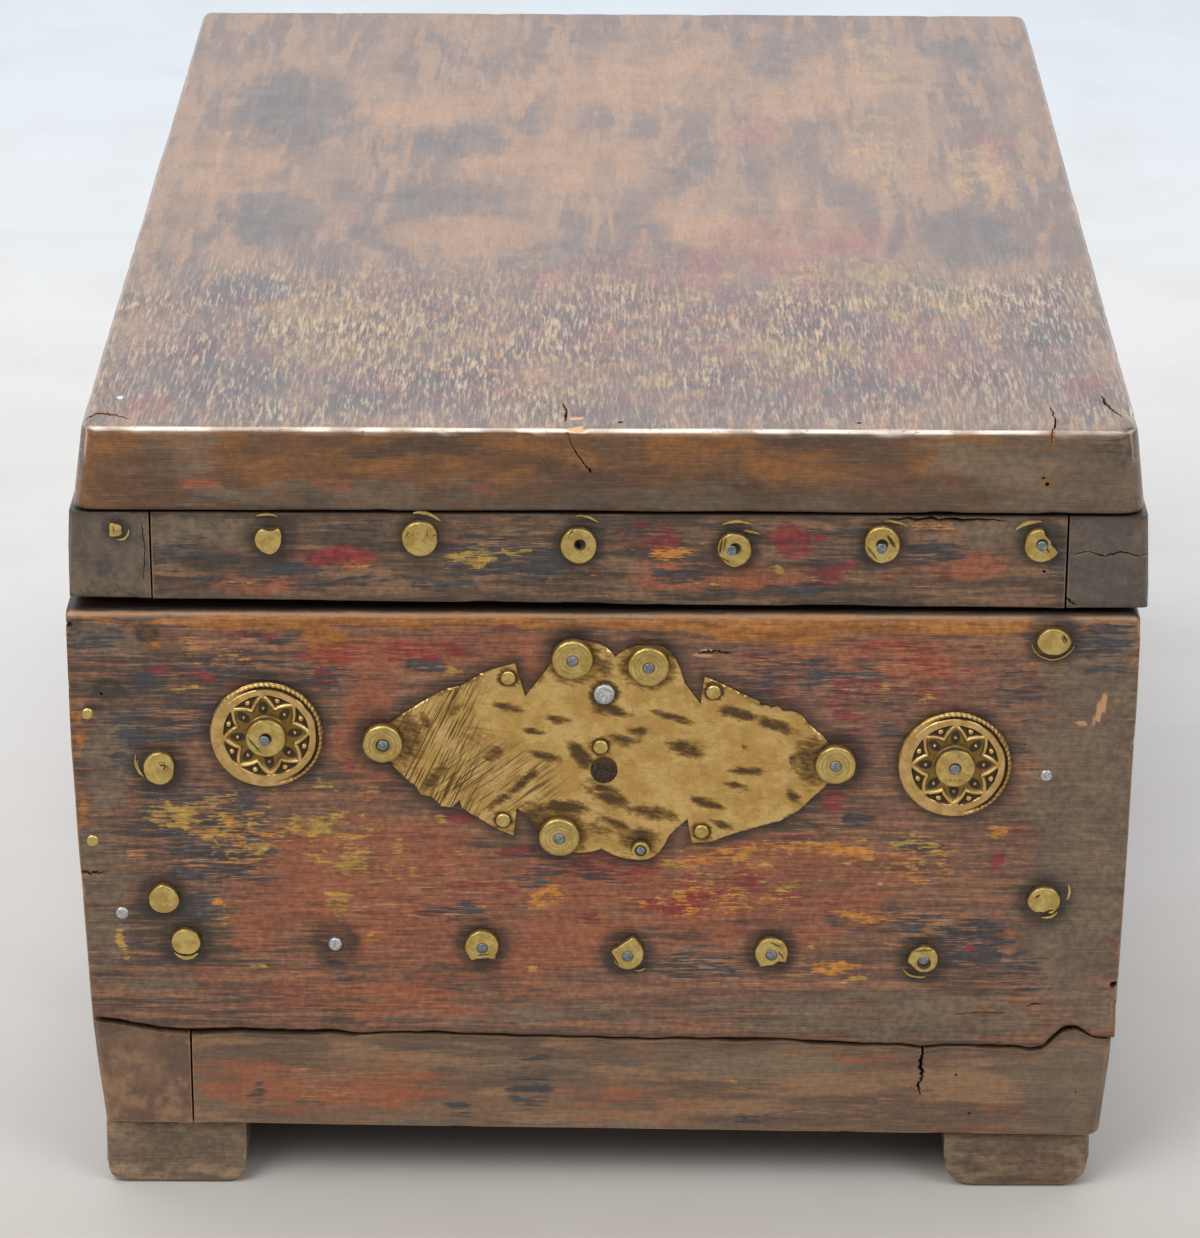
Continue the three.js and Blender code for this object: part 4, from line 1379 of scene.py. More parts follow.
FRONT_PAINT = paintwork(
    terracotta=(
        (-53, 82.2, 34, 18, 1.0), (-82, 74.4, 10, 12, 0.8), (-43.5, 64.7, 40, 5, 0.8),
        (-14.5, 68.6, 22, 9, 0.8), (-46.5, 95.8, 20, 4, 0.9), (57, 86, 18, 3, 0.7),
        (100.5, 69.5, 3, 2, 0.6), (36, 68, 26, 5, 0.45), (-56, 125, 8, 24, 0.75), (-30, 142, 30, 7, 0.65),
        (40, 82, 44, 14, 0.6), (0, 84, 24, 10, 0.7), (60, 142, 36, 7, 0.5), (-64, 54, 48, 9, 0.5),
    ),
    amber=(
        (-82, 150.6, 16, 2, 1.0), (-39, 150.8, 28, 1.6, 0.7), (-104.5, 146.2, 2, 3, 0.7),
        (-63, 144.3, 6, 5, 0.8), (-125.5, 126, 1.2, 10, 0.4), (-125, 99.6, 1.4, 6, 0.36),
        (34, 150.6, 38, 2.2, 0.85), (43, 148, 15, 2.5, 0.9), (84, 150.8, 24, 1.8, 0.7),
        (-118, 150.8, 8, 1.4, 0.5), (118, 150.8, 8, 1.4, 0.5), (-50, 150.6, 60, 1.7, 0.95),
        (50, 150.4, 60, 2.0, 0.95),
    ),
    blueblack=(
        (-78, 146.2, 9, 1.5, 0.8), (-101, 135.5, 16, 5, 0.6), (-100, 125, 9, 8, 0.65),
        (-89, 105.5, 9, 5, 0.7), (-90, 98.7, 10, 6, 0.85), (-93, 88, 10, 6, 0.9), (-101, 85, 8, 4, 0.7),
        (-101, 76, 7, 6, 0.6), (-44, 140, 6, 3, 0.75), (-36, 75, 9, 2, 0.8), (-15.5, 89, 9, 2, 0.7),
        (-8, 86, 8, 2, 0.7), (38, 137, 10, 6, 0.5), (62, 100, 5, 3, 0.7), (75, 93, 8, 3, 0.6),
        (88, 68, 13, 9, 0.8), (93, 64, 6, 5, 0.9), (22, 61, 13, 4, 0.8), (93, 94, 1.5, 0.6, 1),
        (-60, 136, 10, 4, 0.4), (68, 74, 14, 5, 0.45), (104, 60, 8, 6, 0.5), (30, 99, 8, 5, 0.5),
        (-68, 59, 12, 3, 0.4), (-66, 138, 9, 5, 0.5), (-112, 120, 9, 12, 0.5), (-75, 112, 9, 4, 0.5),
        (-82, 126, 5, 14, 0.5), (-120, 147, 9, 6, 0.6), (-84, 138, 14, 6, 0.55), (-110, 98, 8, 10, 0.45),
        (-12, 84, 18, 2, 0.5), (96, 128, 8, 18, 0.35), (60, 116, 4, 10, 0.35), (119, 146, 8, 8, 0.55),
        (-108, 64, 10, 6, 0.4), (52, 138, 22, 7, 0.45), (-94, 92, 16, 12, 0.62), (-100, 106, 14, 5, 0.6),
        (70, 126, 5, 10, 0.4),
    ),
    crimson=(
        (-81.5, 147.3, 6, 1.2, 0.9), (-69, 147.5, 3, 1, 0.7), (-100, 137.4, 9, 1.8, 0.8),
        (-97, 134, 8, 1.5, 0.65), (-66, 136.5, 4, 3, 0.65), (-59, 116, 1.5, 4, 0.55),
        (-50, 108.4, 4, 2.5, 0.8), (-41, 143.8, 12, 2.5, 0.65), (-23, 148.6, 3, 1.2, 0.8),
        (-18.5, 143.8, 2.5, 1.5, 0.65), (-35, 100.6, 7, 2, 0.8), (-20, 91, 5, 2, 0.8),
        (-5, 89, 6, 2.5, 0.85), (-44.5, 74.3, 4, 1.2, 0.9), (-3, 73.4, 4, 1.5, 0.9),
        (-94, 83.6, 2, 1.8, 0.9), (71, 143.5, 24, 3.5, 0.55), (90, 144.3, 3, 1, 0.9),
        (60, 132, 10, 5, 0.6), (57.5, 127.8, 3.5, 2, 0.9), (38, 142, 4, 1, 0.6), (54.5, 106, 4, 4, 0.85),
        (47.5, 95.5, 5, 0.9, 0.9), (98, 98, 2, 1.5, 0.8), (92.5, 89, 1.5, 3, 0.8), (2.5, 86, 3, 1.5, 0.9),
        (18, 77, 11, 4, 0.75), (22, 77.5, 2, 2.5, 1), (54, 78, 2.5, 4, 0.85), (88, 66.5, 2, 0.6, 0.9),
        (-30, 82, 8, 1.5, 0.5), (6, 66, 8, 2, 0.5), (2, 87, 16, 4, 0.7), (40, 134, 10, 8, 0.5),
        (62, 122, 5, 14, 0.5), (78, 136, 12, 8, 0.45), (-88, 131, 14, 5, 0.5), (-60, 142, 12, 3, 0.5),
        (30, 80, 18, 8, 0.5), (-46, 112, 6, 5, 0.6),
    ),
    ochre=(
        (-103, 99.6, 8, 5, 0.75), (-70, 97.7, 6, 3.5, 0.95), (-79, 96.7, 3, 3, 0.65),
        (-68, 107.4, 3, 4, 0.7), (-56, 106.4, 3, 3, 0.75), (-76.5, 104.5, 3, 2, 0.6),
        (-63, 88, 6, 3, 0.85), (-64, 77.3, 4, 5, 0.75), (-84, 91, 3, 3, 0.75), (-39.7, 98.7, 2, 2, 0.85),
        (-33, 89, 4, 2, 0.5), (-46.5, 88, 5, 2, 0.45), (-101, 133.3, 3.5, 1.2, 0.9),
        (-56, 129.7, 2, 1.5, 0.75), (-37, 137.9, 3.5, 1.5, 0.75), (-92, 73, 2, 4, 0.7),
        (66, 132.5, 1.5, 3, 0.6), (76, 131.5, 3, 1.5, 0.6), (34, 89.5, 5, 2.5, 0.85),
        (16, 88.5, 4, 1.5, 0.85), (23, 91.5, 4, 1.5, 0.75), (76.5, 93.5, 8, 3.5, 0.75),
        (82.5, 84.5, 2, 1.5, 0.9), (66, 83.3, 2, 1, 0.65), (14.5, 78, 5, 2.5, 0.75),
        (17, 60, 1.5, 1, 0.85), (59.5, 57, 5.5, 0.8, 0.9), (30, 84, 24, 10, 0.42), (66, 90, 16, 8, 0.42),
        (-90, 98, 16, 9, 0.5), (-62, 94, 14, 12, 0.45), (52, 66, 3, 2, 0.65),
        (-117, 66.7, 1.4, 4.5, 0.98), (-85, 60.4, 2, 1.2, 0.9), (-20, 60.4, 2, 1.5, 0.85),
    ),
    orange=(
        (53.5, 92, 15, 2.2, 1.0), (93, 97, 3, 3, 0.95), (63, 75, 10, 2, 0.85), (-14.5, 79.3, 5, 3, 0.95),
        (-77.5, 58, 2, 1.5, 0.75), (-29, 76.4, 1.5, 0.8, 0.9), (-94, 77.5, 2, 1, 1),
        (-46, 84, 10, 2, 0.5), (57, 60.5, 5.5, 2, 0.9), (8, 93, 6, 2, 0.6), (-60, 68, 10, 2, 0.5),
        (30, 90, 16, 5, 0.6), (24, 78, 20, 5, 0.5), (-92, 142, 10, 4, 0.5), (-86, 94, 14, 8, 0.42),
        (78, 88, 12, 6, 0.5),
    ),
    peach=(
        (-92, 144.3, 6, 2.5, 0.7), (-80.5, 144.7, 8, 1.1, 0.6), (-112.5, 141.4, 4, 1.1, 0.6),
        (-68, 145.2, 3, 1.1, 0.6), (-92, 98.7, 12, 8, 0.5), (-94, 88, 13, 6, 0.5), (-97, 125, 11, 6, 0.4),
        (-115, 89, 3, 2, 0.7), (114, 125.3, 2, 0.9, 0.9), (36, 60, 22, 7, 0.5), (80, 70, 16, 8, 0.5),
        (52, 99, 10, 3, 0.55), (-45, 80, 24, 10, 0.4), (60, 138, 24, 8, 0.35),
    ),
    brown=(
        (-116, 146.2, 10, 5, 0.95), (-118, 116, 7, 18, 0.65), (-113, 55, 12, 7, 0.5),
        (-20, 47, 50, 4, 0.4), (116, 100, 16, 60, 0.95), (117, 142, 10, 9, 0.9), (70, 49, 50, 6, 0.7),
        (-122, 80, 8, 24, 0.6),
    ),
)
LID_FRONT_PAINT = paintwork(
    crimson=(
        (-61, 166.4, 11, 3.0, 1.0), (11, 172, 10, 4.4, 1.0), (45.5, 171, 7, 4.2, 0.95),
        (53, 162.5, 8, 4, 0.9), (-38, 171, 8, 2, 0.45), (30, 167, 6, 2, 0.5), (72, 163, 8, 2, 0.4),
    ),
    blueblack=(
        (-73, 163, 7, 2.4, 0.8), (-22, 166, 15, 6, 0.8), (6, 173, 5, 2.5, 0.75),
        (18.5, 162.5, 7, 3, 0.75), (47, 158.5, 10, 1.8, 0.8), (77.5, 168.5, 6, 3.2, 0.85),
        (-95, 166, 12, 6, 0.4), (-52, 174, 16, 2.4, 0.4), (119, 166, 14, 14, 0.62),
        (-60, 160, 40, 3, 0.5), (40, 174, 40, 2.4, 0.5), (-30, 170, 24, 5, 0.4), (58, 166, 12, 5, 0.45),
        (-118, 170, 8, 9, 0.42),
    ),
    ochre=(
        (-31.5, 166, 8, 3.6, 0.9), (-20, 168, 4, 1.2, 0.85), (24.5, 160, 4, 1.4, 0.9),
        (40, 164, 3, 1.4, 0.85), (-107, 165, 0.9, 3, 0.9), (-84, 160, 6, 1.6, 0.5),
    ),
    orange=(
        (77, 175, 11, 1.8, 0.85), (17, 168, 8, 3, 0.85), (-61, 164, 8, 1, 0.8), (11, 168.6, 8, 1, 0.7),
        (64, 168, 8, 2, 0.5), (-6, 161, 12, 2, 0.45),
    ),
    terracotta=((84, 165, 11, 4, 0.7), (30, 162, 26, 5, 0.5), (-86, 159, 18, 4, 0.4)),
    peach=((-20, 170, 30, 3, 0.2), (60, 160, 30, 3, 0.25)),
    brown=(
        (-100, 172, 26, 6, 0.7), (-116, 166, 12, 12, 0.6), (119, 166, 14, 14, 0.95),
        (96, 173, 14, 5, 0.7),
    ),
)
TOP_EDGE_PAINT = paintwork(
    terracotta=((-95, 184, 8, 1.2, 0.8), (-63, 184, 5, 1.6, 0.65), (-25, 182.5, 6, 1.2, 0.6)),
    brown=(
        (0, 181, 130, 3.5, 0.75), (106, 188, 30, 12, 0.85), (-104, 190, 14, 8, 0.5),
    ),
    smoke=(
        (-42, 192, 4, 5, 0.85), (4, 193, 7, 4, 0.8), (64, 192, 12, 4, 0.8), (-78, 194, 6, 3, 0.7),
        (28, 188, 6, 5, 0.6), (-10, 183, 60, 4, 0.6), (60, 183, 40, 5, 0.6), (-110, 186, 12, 8, 0.6),
    ),
)
TOP_PAINT = paintwork(
    tan=(
        (-49, 268, 20, 16, 1.0), (-105, 220, 14, 33, 1.0), (-35, 148, 24, 18, 1.0),
        (10, 300, 40, 40, 0.6), (-10, 220, 30, 30, 0.7), (60, 290, 30, 30, 0.6), (40, 160, 30, 30, 0.5),
    ),
    blueblack=(
        (-93, 265, 19, 41, 0.8), (-41, 236, 14, 18, 0.75), (-89, 164, 14, 22, 1.0),
        (-63, 150, 5, 14, 0.85), (-44, 184, 17, 16, 0.75), (-92, 104, 14, 13, 0.85),
        (-55, 20, 17, 9, 0.85), (49, 325, 10, 28, 0.6), (105, 330, 11, 20, 0.75), (21, 209, 4, 14, 0.8),
        (96, 148, 11, 28, 0.95), (110, 70, 8, 18, 0.95), (65, 181, 6, 1, 1.0), (8, 159, 6, 1, 1.0),
        (-20, 90, 50, 16, 0.6), (30, 40, 60, 26, 0.62), (70, 100, 24, 30, 0.6), (-90, 40, 30, 24, 0.7),
        (0, 130, 30, 20, 0.5), (0, 66, 124, 62, 0.42),
    ),
    ochre=(
        (-68, 75, 24, 31, 0.9), (79, 321, 10, 30, 0.5), (76, 229, 9, 40, 0.6), (92, 100, 11, 16, 0.85),
        (46, 54, 17, 19, 0.85), (66, 110, 24, 30, 0.6), (-40, 60, 26, 24, 0.65), (105, 210, 12, 36, 0.5),
        (0, 40, 40, 24, 0.5), (0, 76, 112, 56, 0.42),
    ),
    crimson=(
        (-2, 75, 6, 56, 0.9), (-109, 18, 6, 10, 0.9), (43, 248, 10, 16, 0.55), (108, 231, 6, 16, 0.6),
        (24, 125, 7, 20, 0.85), (28, 76, 5, 14, 0.95), (24, 56, 5, 10, 0.95), (68, 144, 8, 20, 0.75),
        (116, 33, 5, 11, 1.0), (57, 105, 8, 26, 0.85), (-24, 40, 14, 22, 0.72), (80, 60, 14, 30, 0.68),
        (0, 70, 116, 58, 0.48), (52, 140, 30, 30, 0.5), (6, 110, 14, 40, 0.6),
    ),
)
BASE_PAINT = paintwork(
    blueblack=((-16, 29, 5, 8, 0.5), (-36, 21, 4, 3, 0.5), (-84, 25, 3, 3, 0.4), (40, 20, 8, 3, 0.35)),
    peach=((-68, 28, 12, 7, 0.4), (10, 33, 20, 3, 0.3), (60, 22, 24, 5, 0.25)),
    orange=((33, 29, 6, 2.4, 0.6), (-60, 24, 12, 3, 0.3)),
    terracotta=(
        (66, 37, 10, 2, 0.7), (-70, 28, 34, 9, 0.55), (90, 18, 16, 5, 0.4), (10, 22, 30, 6, 0.35),
    ),
    brown=((112, 30, 14, 14, 0.8), (0, 14, 110, 4, 0.6), (-100, 26, 10, 10, 0.5), (20, 34, 50, 5, 0.5)),
)
FOOT_PAINT = paintwork(
    smoke=((104, 9, 18, 14, 0.75), (-112, 12, 10, 6, 0.2), (-96, 4, 8, 4, 0.2)),
)


@dataclass
class Carcass:
    """The body's four boards and its floor."""

    paintwork: Material
    plain: Material
    bare: Material

    # Paint on the sides and the back, which the photograph doesn't show: how many patches of each
    # coat, half sizes of a middling one and the greatest strength
    SIDE_COATS = {
        "terracotta": (7, (60, 24), 0.9), "blueblack": (12, (34, 12), 0.75),
        "crimson": (10, (26, 8), 0.7), "ochre": (10, (24, 8), 0.7), "brown": (8, (60, 22), 0.8),
    }
    BACK_COATS = {
        "terracotta": (5, (50, 24), 0.8), "blueblack": (8, (30, 12), 0.7), "ochre": (6, (20, 8), 0.6),
        "brown": (9, (50, 26), 0.95),
    }

    # Where those patches may lie: least and greatest of both coordinates
    SIDE_FIELD = (20, 350, 45, 150)
    BACK_FIELD = (-120, 120, 45, 150)
    SIDE_FOOT = Patch(186, 46, 200, 12, 0.85)

    def build(self) -> None:
        """Makes the boards."""
        self.front()
        for name, side in (("left", Side.LEFT), ("right", Side.RIGHT)):
            self.side(name, side)
        self.back()
        Board("floor_board", "body", "bare_wood", self.bare, cell=(9, 9, 5), seed=31).make()

    def front(self) -> None:
        """The front board, with its cracks, nicks and worm holes."""
        FrontBoard(
            "body_front_board", "body", "painted_wood", self.paintwork, cell=(1.15, 5.0, 1.15),
            lean=BODY_LEAN, wave=0.3, outer=(Side.FRONT, Side.LEFT, Side.RIGHT, Side.TOP),
            paintwork={Side.FRONT: FRONT_PAINT}, seed=11,
            bites=(
                Bite(-127.4, -0.5, 105, 1.6), Bite(-127.2, -0.4, 134, 1.3), Bite(126.6, 0, 56.1, 2.0),
                Bite(126.4, 0, 49.9, 2.6), Bite(126.9, 0.2, 120, 1.5), Bite(-126.6, 0, 62, 1.4),
                Bite(-90, -1.6, 151.5, 2.2), Bite(20, -1.4, 151.8, 1.8), Bite(88, -1.2, 151.5, 1.7),
            ),
            cuts=(
                Crack(((-127.5, 85.4), (-124, 84.9), (-120, 85.0)), 1.1, 0, 5, 1),
                Crack(((86, 47.8), (92, 48.6), (99, 48.2)), 0.35, 0, 3, 3),
                Crack(((103, 50.2), (106, 50.9), (108, 50.5)), 0.6, 0, 3, 4),
                Crack(((22.6, 143.0), (26.5, 143.6), (30.5, 143.2)), 0.8, 0, 3, 5),
                Hole(124.4, 0, 56.1, 1.0, 4), Hole(106.5, 0, 147.5, 0.7, 3),
                Hole(-119.2, 0, 131.9, 0.5, 2), Hole(-126.2, 0, 149.6, 0.9, 3),
            ),
        ).make()

    def side(self, name: str, side: Side) -> None:
        """A side board, with what paint such a box keeps on its sides."""
        rng = random.Random(40 + side.value[1])
        coats = {coat: scattered(rng, self.SIDE_FIELD, *row) for coat, row in self.SIDE_COATS.items()}
        coats["brown"] += (self.SIDE_FOOT,)
        Board(
            f"body_{name}_board", "body", "painted_wood", self.plain, cell=(6, 3.2, 2.6), round=1.1,
            lean={side: BODY_LEAN[side]}, outer=(side, Side.TOP), paintwork={side: coats},
            seed=51 + side.value[1],
        ).make()

    def back(self) -> None:
        """The back board, plainer and more worn."""
        rng = random.Random(45)
        coats = {coat: scattered(rng, self.BACK_FIELD, *row) for coat, row in self.BACK_COATS.items()}
        Board(
            "body_back_board", "body", "painted_wood", self.paintwork, cell=(3.2, 6, 2.8), lean=BODY_LEAN,
            outer=(Side.BACK, Side.LEFT, Side.RIGHT, Side.TOP), paintwork={Side.BACK: coats}, seed=61,
        ).make()


@dataclass
class BaseFrame:
    """The base's four rails and its block feet."""

    across: Material
    deep: Material
    block: Material

    # How far the base's ends are drawn in at their foot and at their top
    LEAN = {Side.LEFT: (2.2, -0.3), Side.RIGHT: (1.6, -1.4)}

    # The same for the front feet, which stand forward a little
    FOOT_LEAN = {
        "left": {Side.LEFT: (-2.4, -2.4), Side.RIGHT: (1.3, 1.3), Side.FRONT: (-2.2, 0.0)},
        "right": {Side.LEFT: (-1.7, -1.7), Side.RIGHT: (-0.6, -0.6), Side.FRONT: (-2.2, 0.0)},
    }

    # How far the lower corners of the feet are rounded
    FOOT_CORNERS = {"front_right": 7.5}

    # Ends that meet their neighbour in a close joint at the front
    TIGHT = {"front": (Side.LEFT,), "left": (Side.RIGHT,)}

    # Grid cells, the leaning end, the rounded upright corner and the outer faces of each rail
    RAILS = {
        "front": ((1.8, 5, 1.5), Side.RIGHT, {(Side.RIGHT, Side.FRONT): 5.5}, (Side.FRONT, Side.RIGHT)),
        "left": ((2.4, 3.4, 1.7), Side.LEFT, {(Side.LEFT, Side.FRONT): 4.0}, (Side.FRONT, Side.LEFT)),
        "right": ((4, 3.4, 2), Side.RIGHT, {(Side.RIGHT, Side.BACK): 4.0}, (Side.RIGHT, Side.BACK)),
        "back": ((3.4, 4, 2), Side.LEFT, {(Side.LEFT, Side.BACK): 4.0}, (Side.BACK, Side.LEFT)),
    }
    BITES = {
        "front": (Bite(125.6, -0.5, 20, 2.4), Bite(60, -1.8, 15.4, 2.4), Bite(-60, -1.6, 16.6, 2.2)),
        "left": (Bite(-125, -0.6, 30, 1.6),),
    }
    CUTS = {
        "front": (
            Crack(
                ((77.6, 39.9), (78.9, 37.5), (78.2, 34), (78.6, 30.5), (77.8, 28), (78.3, 25.6)),
                1.25, 0, 9, 7),
            Crack(((100, 37.2), (104, 36.9)), 0.3, 0, 2, 8),
            Hole(116.5, 0, 26.5, 0.35, 2), Hole(87, 0, 31.2, 0.4, 2), Hole(90.5, 0, 20.6, 0.4, 2),
        ),
    }

    def build(self) -> None:
        """Makes the rails and feet."""
        for seed, (name, (cell, end, corners, outer)) in enumerate(self.RAILS.items(), 71):
            finish = self.across if name in ("front", "back") else self.deep
            BaseRail(
                f"base_{name}_rail", "body", "base_wood", finish, cell=cell,
                lean={end: self.LEAN[end]}, round=0.5, corners=corners, wave=0.35,
                tight=self.TIGHT.get(name, ()), outer=(*outer, Side.BOTTOM),
                paintwork={Side.FRONT: BASE_PAINT} if name == "front" else {},
                bites=self.BITES.get(name, ()), cuts=self.CUTS.get(name, ()), seed=seed,
            ).make()
        feet = ((end, side) for end in ("front", "back") for side in ("left", "right"))
        for seed, (end, side) in enumerate(feet, 81):
            front = end == "front"
            Foot(
                f"foot_{end}_{side}", "body", "base_wood", self.block, cell=(2.2, 2.8, 1.8),
                lean=self.FOOT_LEAN[side] if front else {}, round=1.1, wave=0.4, outer=tuple(Side),
                paintwork={Side.FRONT: FOOT_PAINT} if front else {}, seed=seed,
                corner=self.FOOT_CORNERS.get(f"{end}_{side}", 5.0),
            ).make()


@dataclass
class Lid:
    """The lid's rails and top board."""

    rail: Material
    rail_deep: Material
    top: Material
    top_edge: Material

    RAIL_LEAN = {Side.LEFT: (-0.9, 0.3), Side.RIGHT: (-0.5, 0.7)}
    TOP_DRAW = 2.4
    TOP_CORNERS = {
        (Side.LEFT, Side.FRONT): 6.5, (Side.RIGHT, Side.FRONT): 7.5, (Side.LEFT, Side.BACK): 5.0,
        (Side.RIGHT, Side.BACK): 5.0,
    }

    # Chips and cracks of the side rails' ends
    BITES = {
        "left": (Bite(-126.6, 1.0, 176, 1.8), Bite(-126.2, 1.2, 158, 1.4)),
        "right": (Bite(129.6, 1.0, 170.5, 1.8), Bite(110.4, 0.6, 154.2, 1.4), Bite(129.2, 1.4, 156, 1.6)),
    }
    CUTS = {
        "left": (Crack(((-108.6, 177), (-107.9, 168), (-108.4, 160)), 0.3, 2, 3, 15),),
        "right": (
            Crack(
                ((109.8, 167.6), (114, 168.8), (118, 167.4), (122, 168.6), (126, 167.6), (129.5, 168.2)),
                0.6, 2, 5, 16),
            Crack(((108.9, 157.0), (110.5, 155.8), (112, 154.8)), 0.7, 2, 4, 17),
        ),
    }

    def build(self) -> None:
        """Makes the boards."""
        LidRail(
            "lid_front_rail", "lid", "lid_wood", self.rail, cell=(1.5, 5, 1.4), round=0.5, wave=0.3,
            tight=(Side.LEFT, Side.RIGHT), outer=(Side.FRONT,), paintwork={Side.FRONT: LID_FRONT_PAINT},
            cuts=(
                Crack(((66, 176.7), (80, 176.6), (95, 176.4)), 1.1, 2, 7, 9),
                Hole(103.8, 2, 163.5, 0.5, 3),
            ),
            seed=91,
        ).make()
        sides = (("left", Side.LEFT, Side.RIGHT), ("right", Side.RIGHT, Side.LEFT))
        for seed, (name, side, inner) in enumerate(sides, 95):
            LidRail(
                f"lid_{name}_rail", "lid", "lid_wood", self.rail_deep, cell=(1.5, 3.2, 1.5),
                lean={side: self.RAIL_LEAN[side]}, round=0.5, wave=0.4, tight=(inner,),
                corners={(side, Side.FRONT): 3.0, (side, Side.BACK): 3.0},
                outer=(Side.FRONT, side, Side.BACK), paintwork={Side.FRONT: LID_FRONT_PAINT},
                bites=self.BITES[name], cuts=self.CUTS[name], seed=seed,
            ).make()
        LidRail(
            "lid_back_rail", "lid", "lid_wood", self.rail, cell=(3.2, 6, 3), round=0.7,
            outer=(Side.BACK,), seed=99,
        ).make()
        self.top_board()

    def top_board(self) -> None:
        """The top board, drawn in towards its upper face, with its chipped and cracked edges."""
        edges = (Side.LEFT, Side.RIGHT, Side.FRONT, Side.BACK)
        TopBoard(
            "lid_top_board", "lid", "lid_wood", self.top, cell=(2.2, 2.4, 1.8), edge_finish=self.top_edge,
            lean={side: (0, self.TOP_DRAW) for side in edges}, round=1.5, corners=self.TOP_CORNERS,
            wave=0.5, outer=(Side.TOP, *edges),
            paintwork={Side.TOP: TOP_PAINT, Side.FRONT: TOP_EDGE_PAINT}, seed=101,
            bites=(
                Bite(108, 3.0, 199.4, 3.4, 0.5), Bite(109, 9, 199.8, 3.0, 0.4),
                Bite(124.5, 5, 199, 3.6, 0.2), Bite(125, 18, 199.2, 2.4),
                Bite(-121, 9, 199.6, 2.8), Bite(-123.6, 4, 198.5, 2.6),
                Bite(-6.4, 5, 199.4, 2.6, 0.8), Bite(-6.8, 12, 199.5, 2.5, 0.8), Bite(-60, 2.0, 199, 1.6),
                Bite(118, 24, 199.6, 2.6, 0.3), Bite(-125.4, 1.5, 198.2, 3.2, 0.1),
                Bite(125.6, 1.5, 198.2, 3.0), Bite(50, 2.0, 199.2, 1.7), Bite(80, 1.8, 199, 1.5),
            ),
            cuts=(
                Crack(
                    ((-8.6, 197), (-6.5, 192), (-2.5, 187), (-1.0, 184), (-1.6, 180.5), (0.5, 178.6)),
                    0.5, 4.4, 4, 12),
                Hole(3.9, 9.5, 197.5, 0.8, 3, Side.TOP), Hole(59.8, 9.8, 197.5, 0.7, 3, Side.TOP),
                Hole(103.8, 4, 185.1, 0.6, 4), Hole(102.9, 4, 186.6, 0.4, 4),
                Crack(((118, 30), (119.5, 21), (122, 14)), 0.8, 197.5, 4, 13, True),
                Crack(((-122, 10), (-119, 14), (-115, 13), (-111, 10)), 1.4, 197.5, 3, 14, True),
                Crack(((-9.2, 9.5), (-8.9, 17), (-9.6, 23)), 0.9, 197.6, 3, 18, True),
                Crack(((104, 2), (106, 10), (105.5, 22)), 0.7, 197.5, 3, 20, True),
            ),
        ).make()


# Brass

def turned(name: str, profile: list[tuple[float, float]], steps: int) -> Piece:
    """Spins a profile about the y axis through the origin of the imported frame.

    Args:
        name: the piece's name.
        profile: radius and place along y of each point, in millimetres, from the face to the seat.
        steps: how many steps round.

    Returns:
        The piece, round the frame's own origin.
    """
    deselect_all()
    bpy.ops.mesh.primitive_plane_add(size=MM)
    piece = bpy.context.active_object
    piece.name = name
    piece.data.name = name
    bpy.ops.object.mode_set(mode="EDIT")
    bpy.context.tool_settings.mesh_select_mode = (True, False, False)
    bpy.ops.mesh.select_all(action="SELECT")
    bpy.ops.mesh.merge(type="CENTER")
    bpy.ops.transform.translate(value=(profile[0][0] * MM, profile[0][1] * MM, 0))
    for (r0, y0), (r1, y1) in zip(profile, profile[1:]):
        step = ((r1 - r0) * MM, (y1 - y0) * MM, 0)
        bpy.ops.mesh.extrude_vertices_move(TRANSFORM_OT_translate={"value": step})
    bpy.ops.mesh.select_all(action="SELECT")
    bpy.ops.mesh.spin(steps=steps, angle=2 * math.pi, center=(0, 0, 0), axis=(0, 1, 0))
    bpy.ops.object.mode_set(mode="OBJECT")
    mend_normals(piece)
    return piece


def copy_of(master: Piece, name: str, spot: Vector, turn: float = 0.0,
            size: Triple = (1, 1, 1)) -> Piece:
    """A copy with its own mesh, turned and sized about its middle and put at a place.

    Args:
        master: the piece to copy, round the frame's origin.
        name: the copy's name.
        spot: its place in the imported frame.
        turn: how far it is turned about y, in radians.
        size: how it is stretched along each axis.

    Returns:
        The copy.
    """
    piece = copy_mesh(master, name)
    move = Matrix.Translation(spot) @ Matrix.Rotation(turn, 4, "Y") @ Matrix.Diagonal((*size, 1))
    piece.data.transform(move)
    return piece


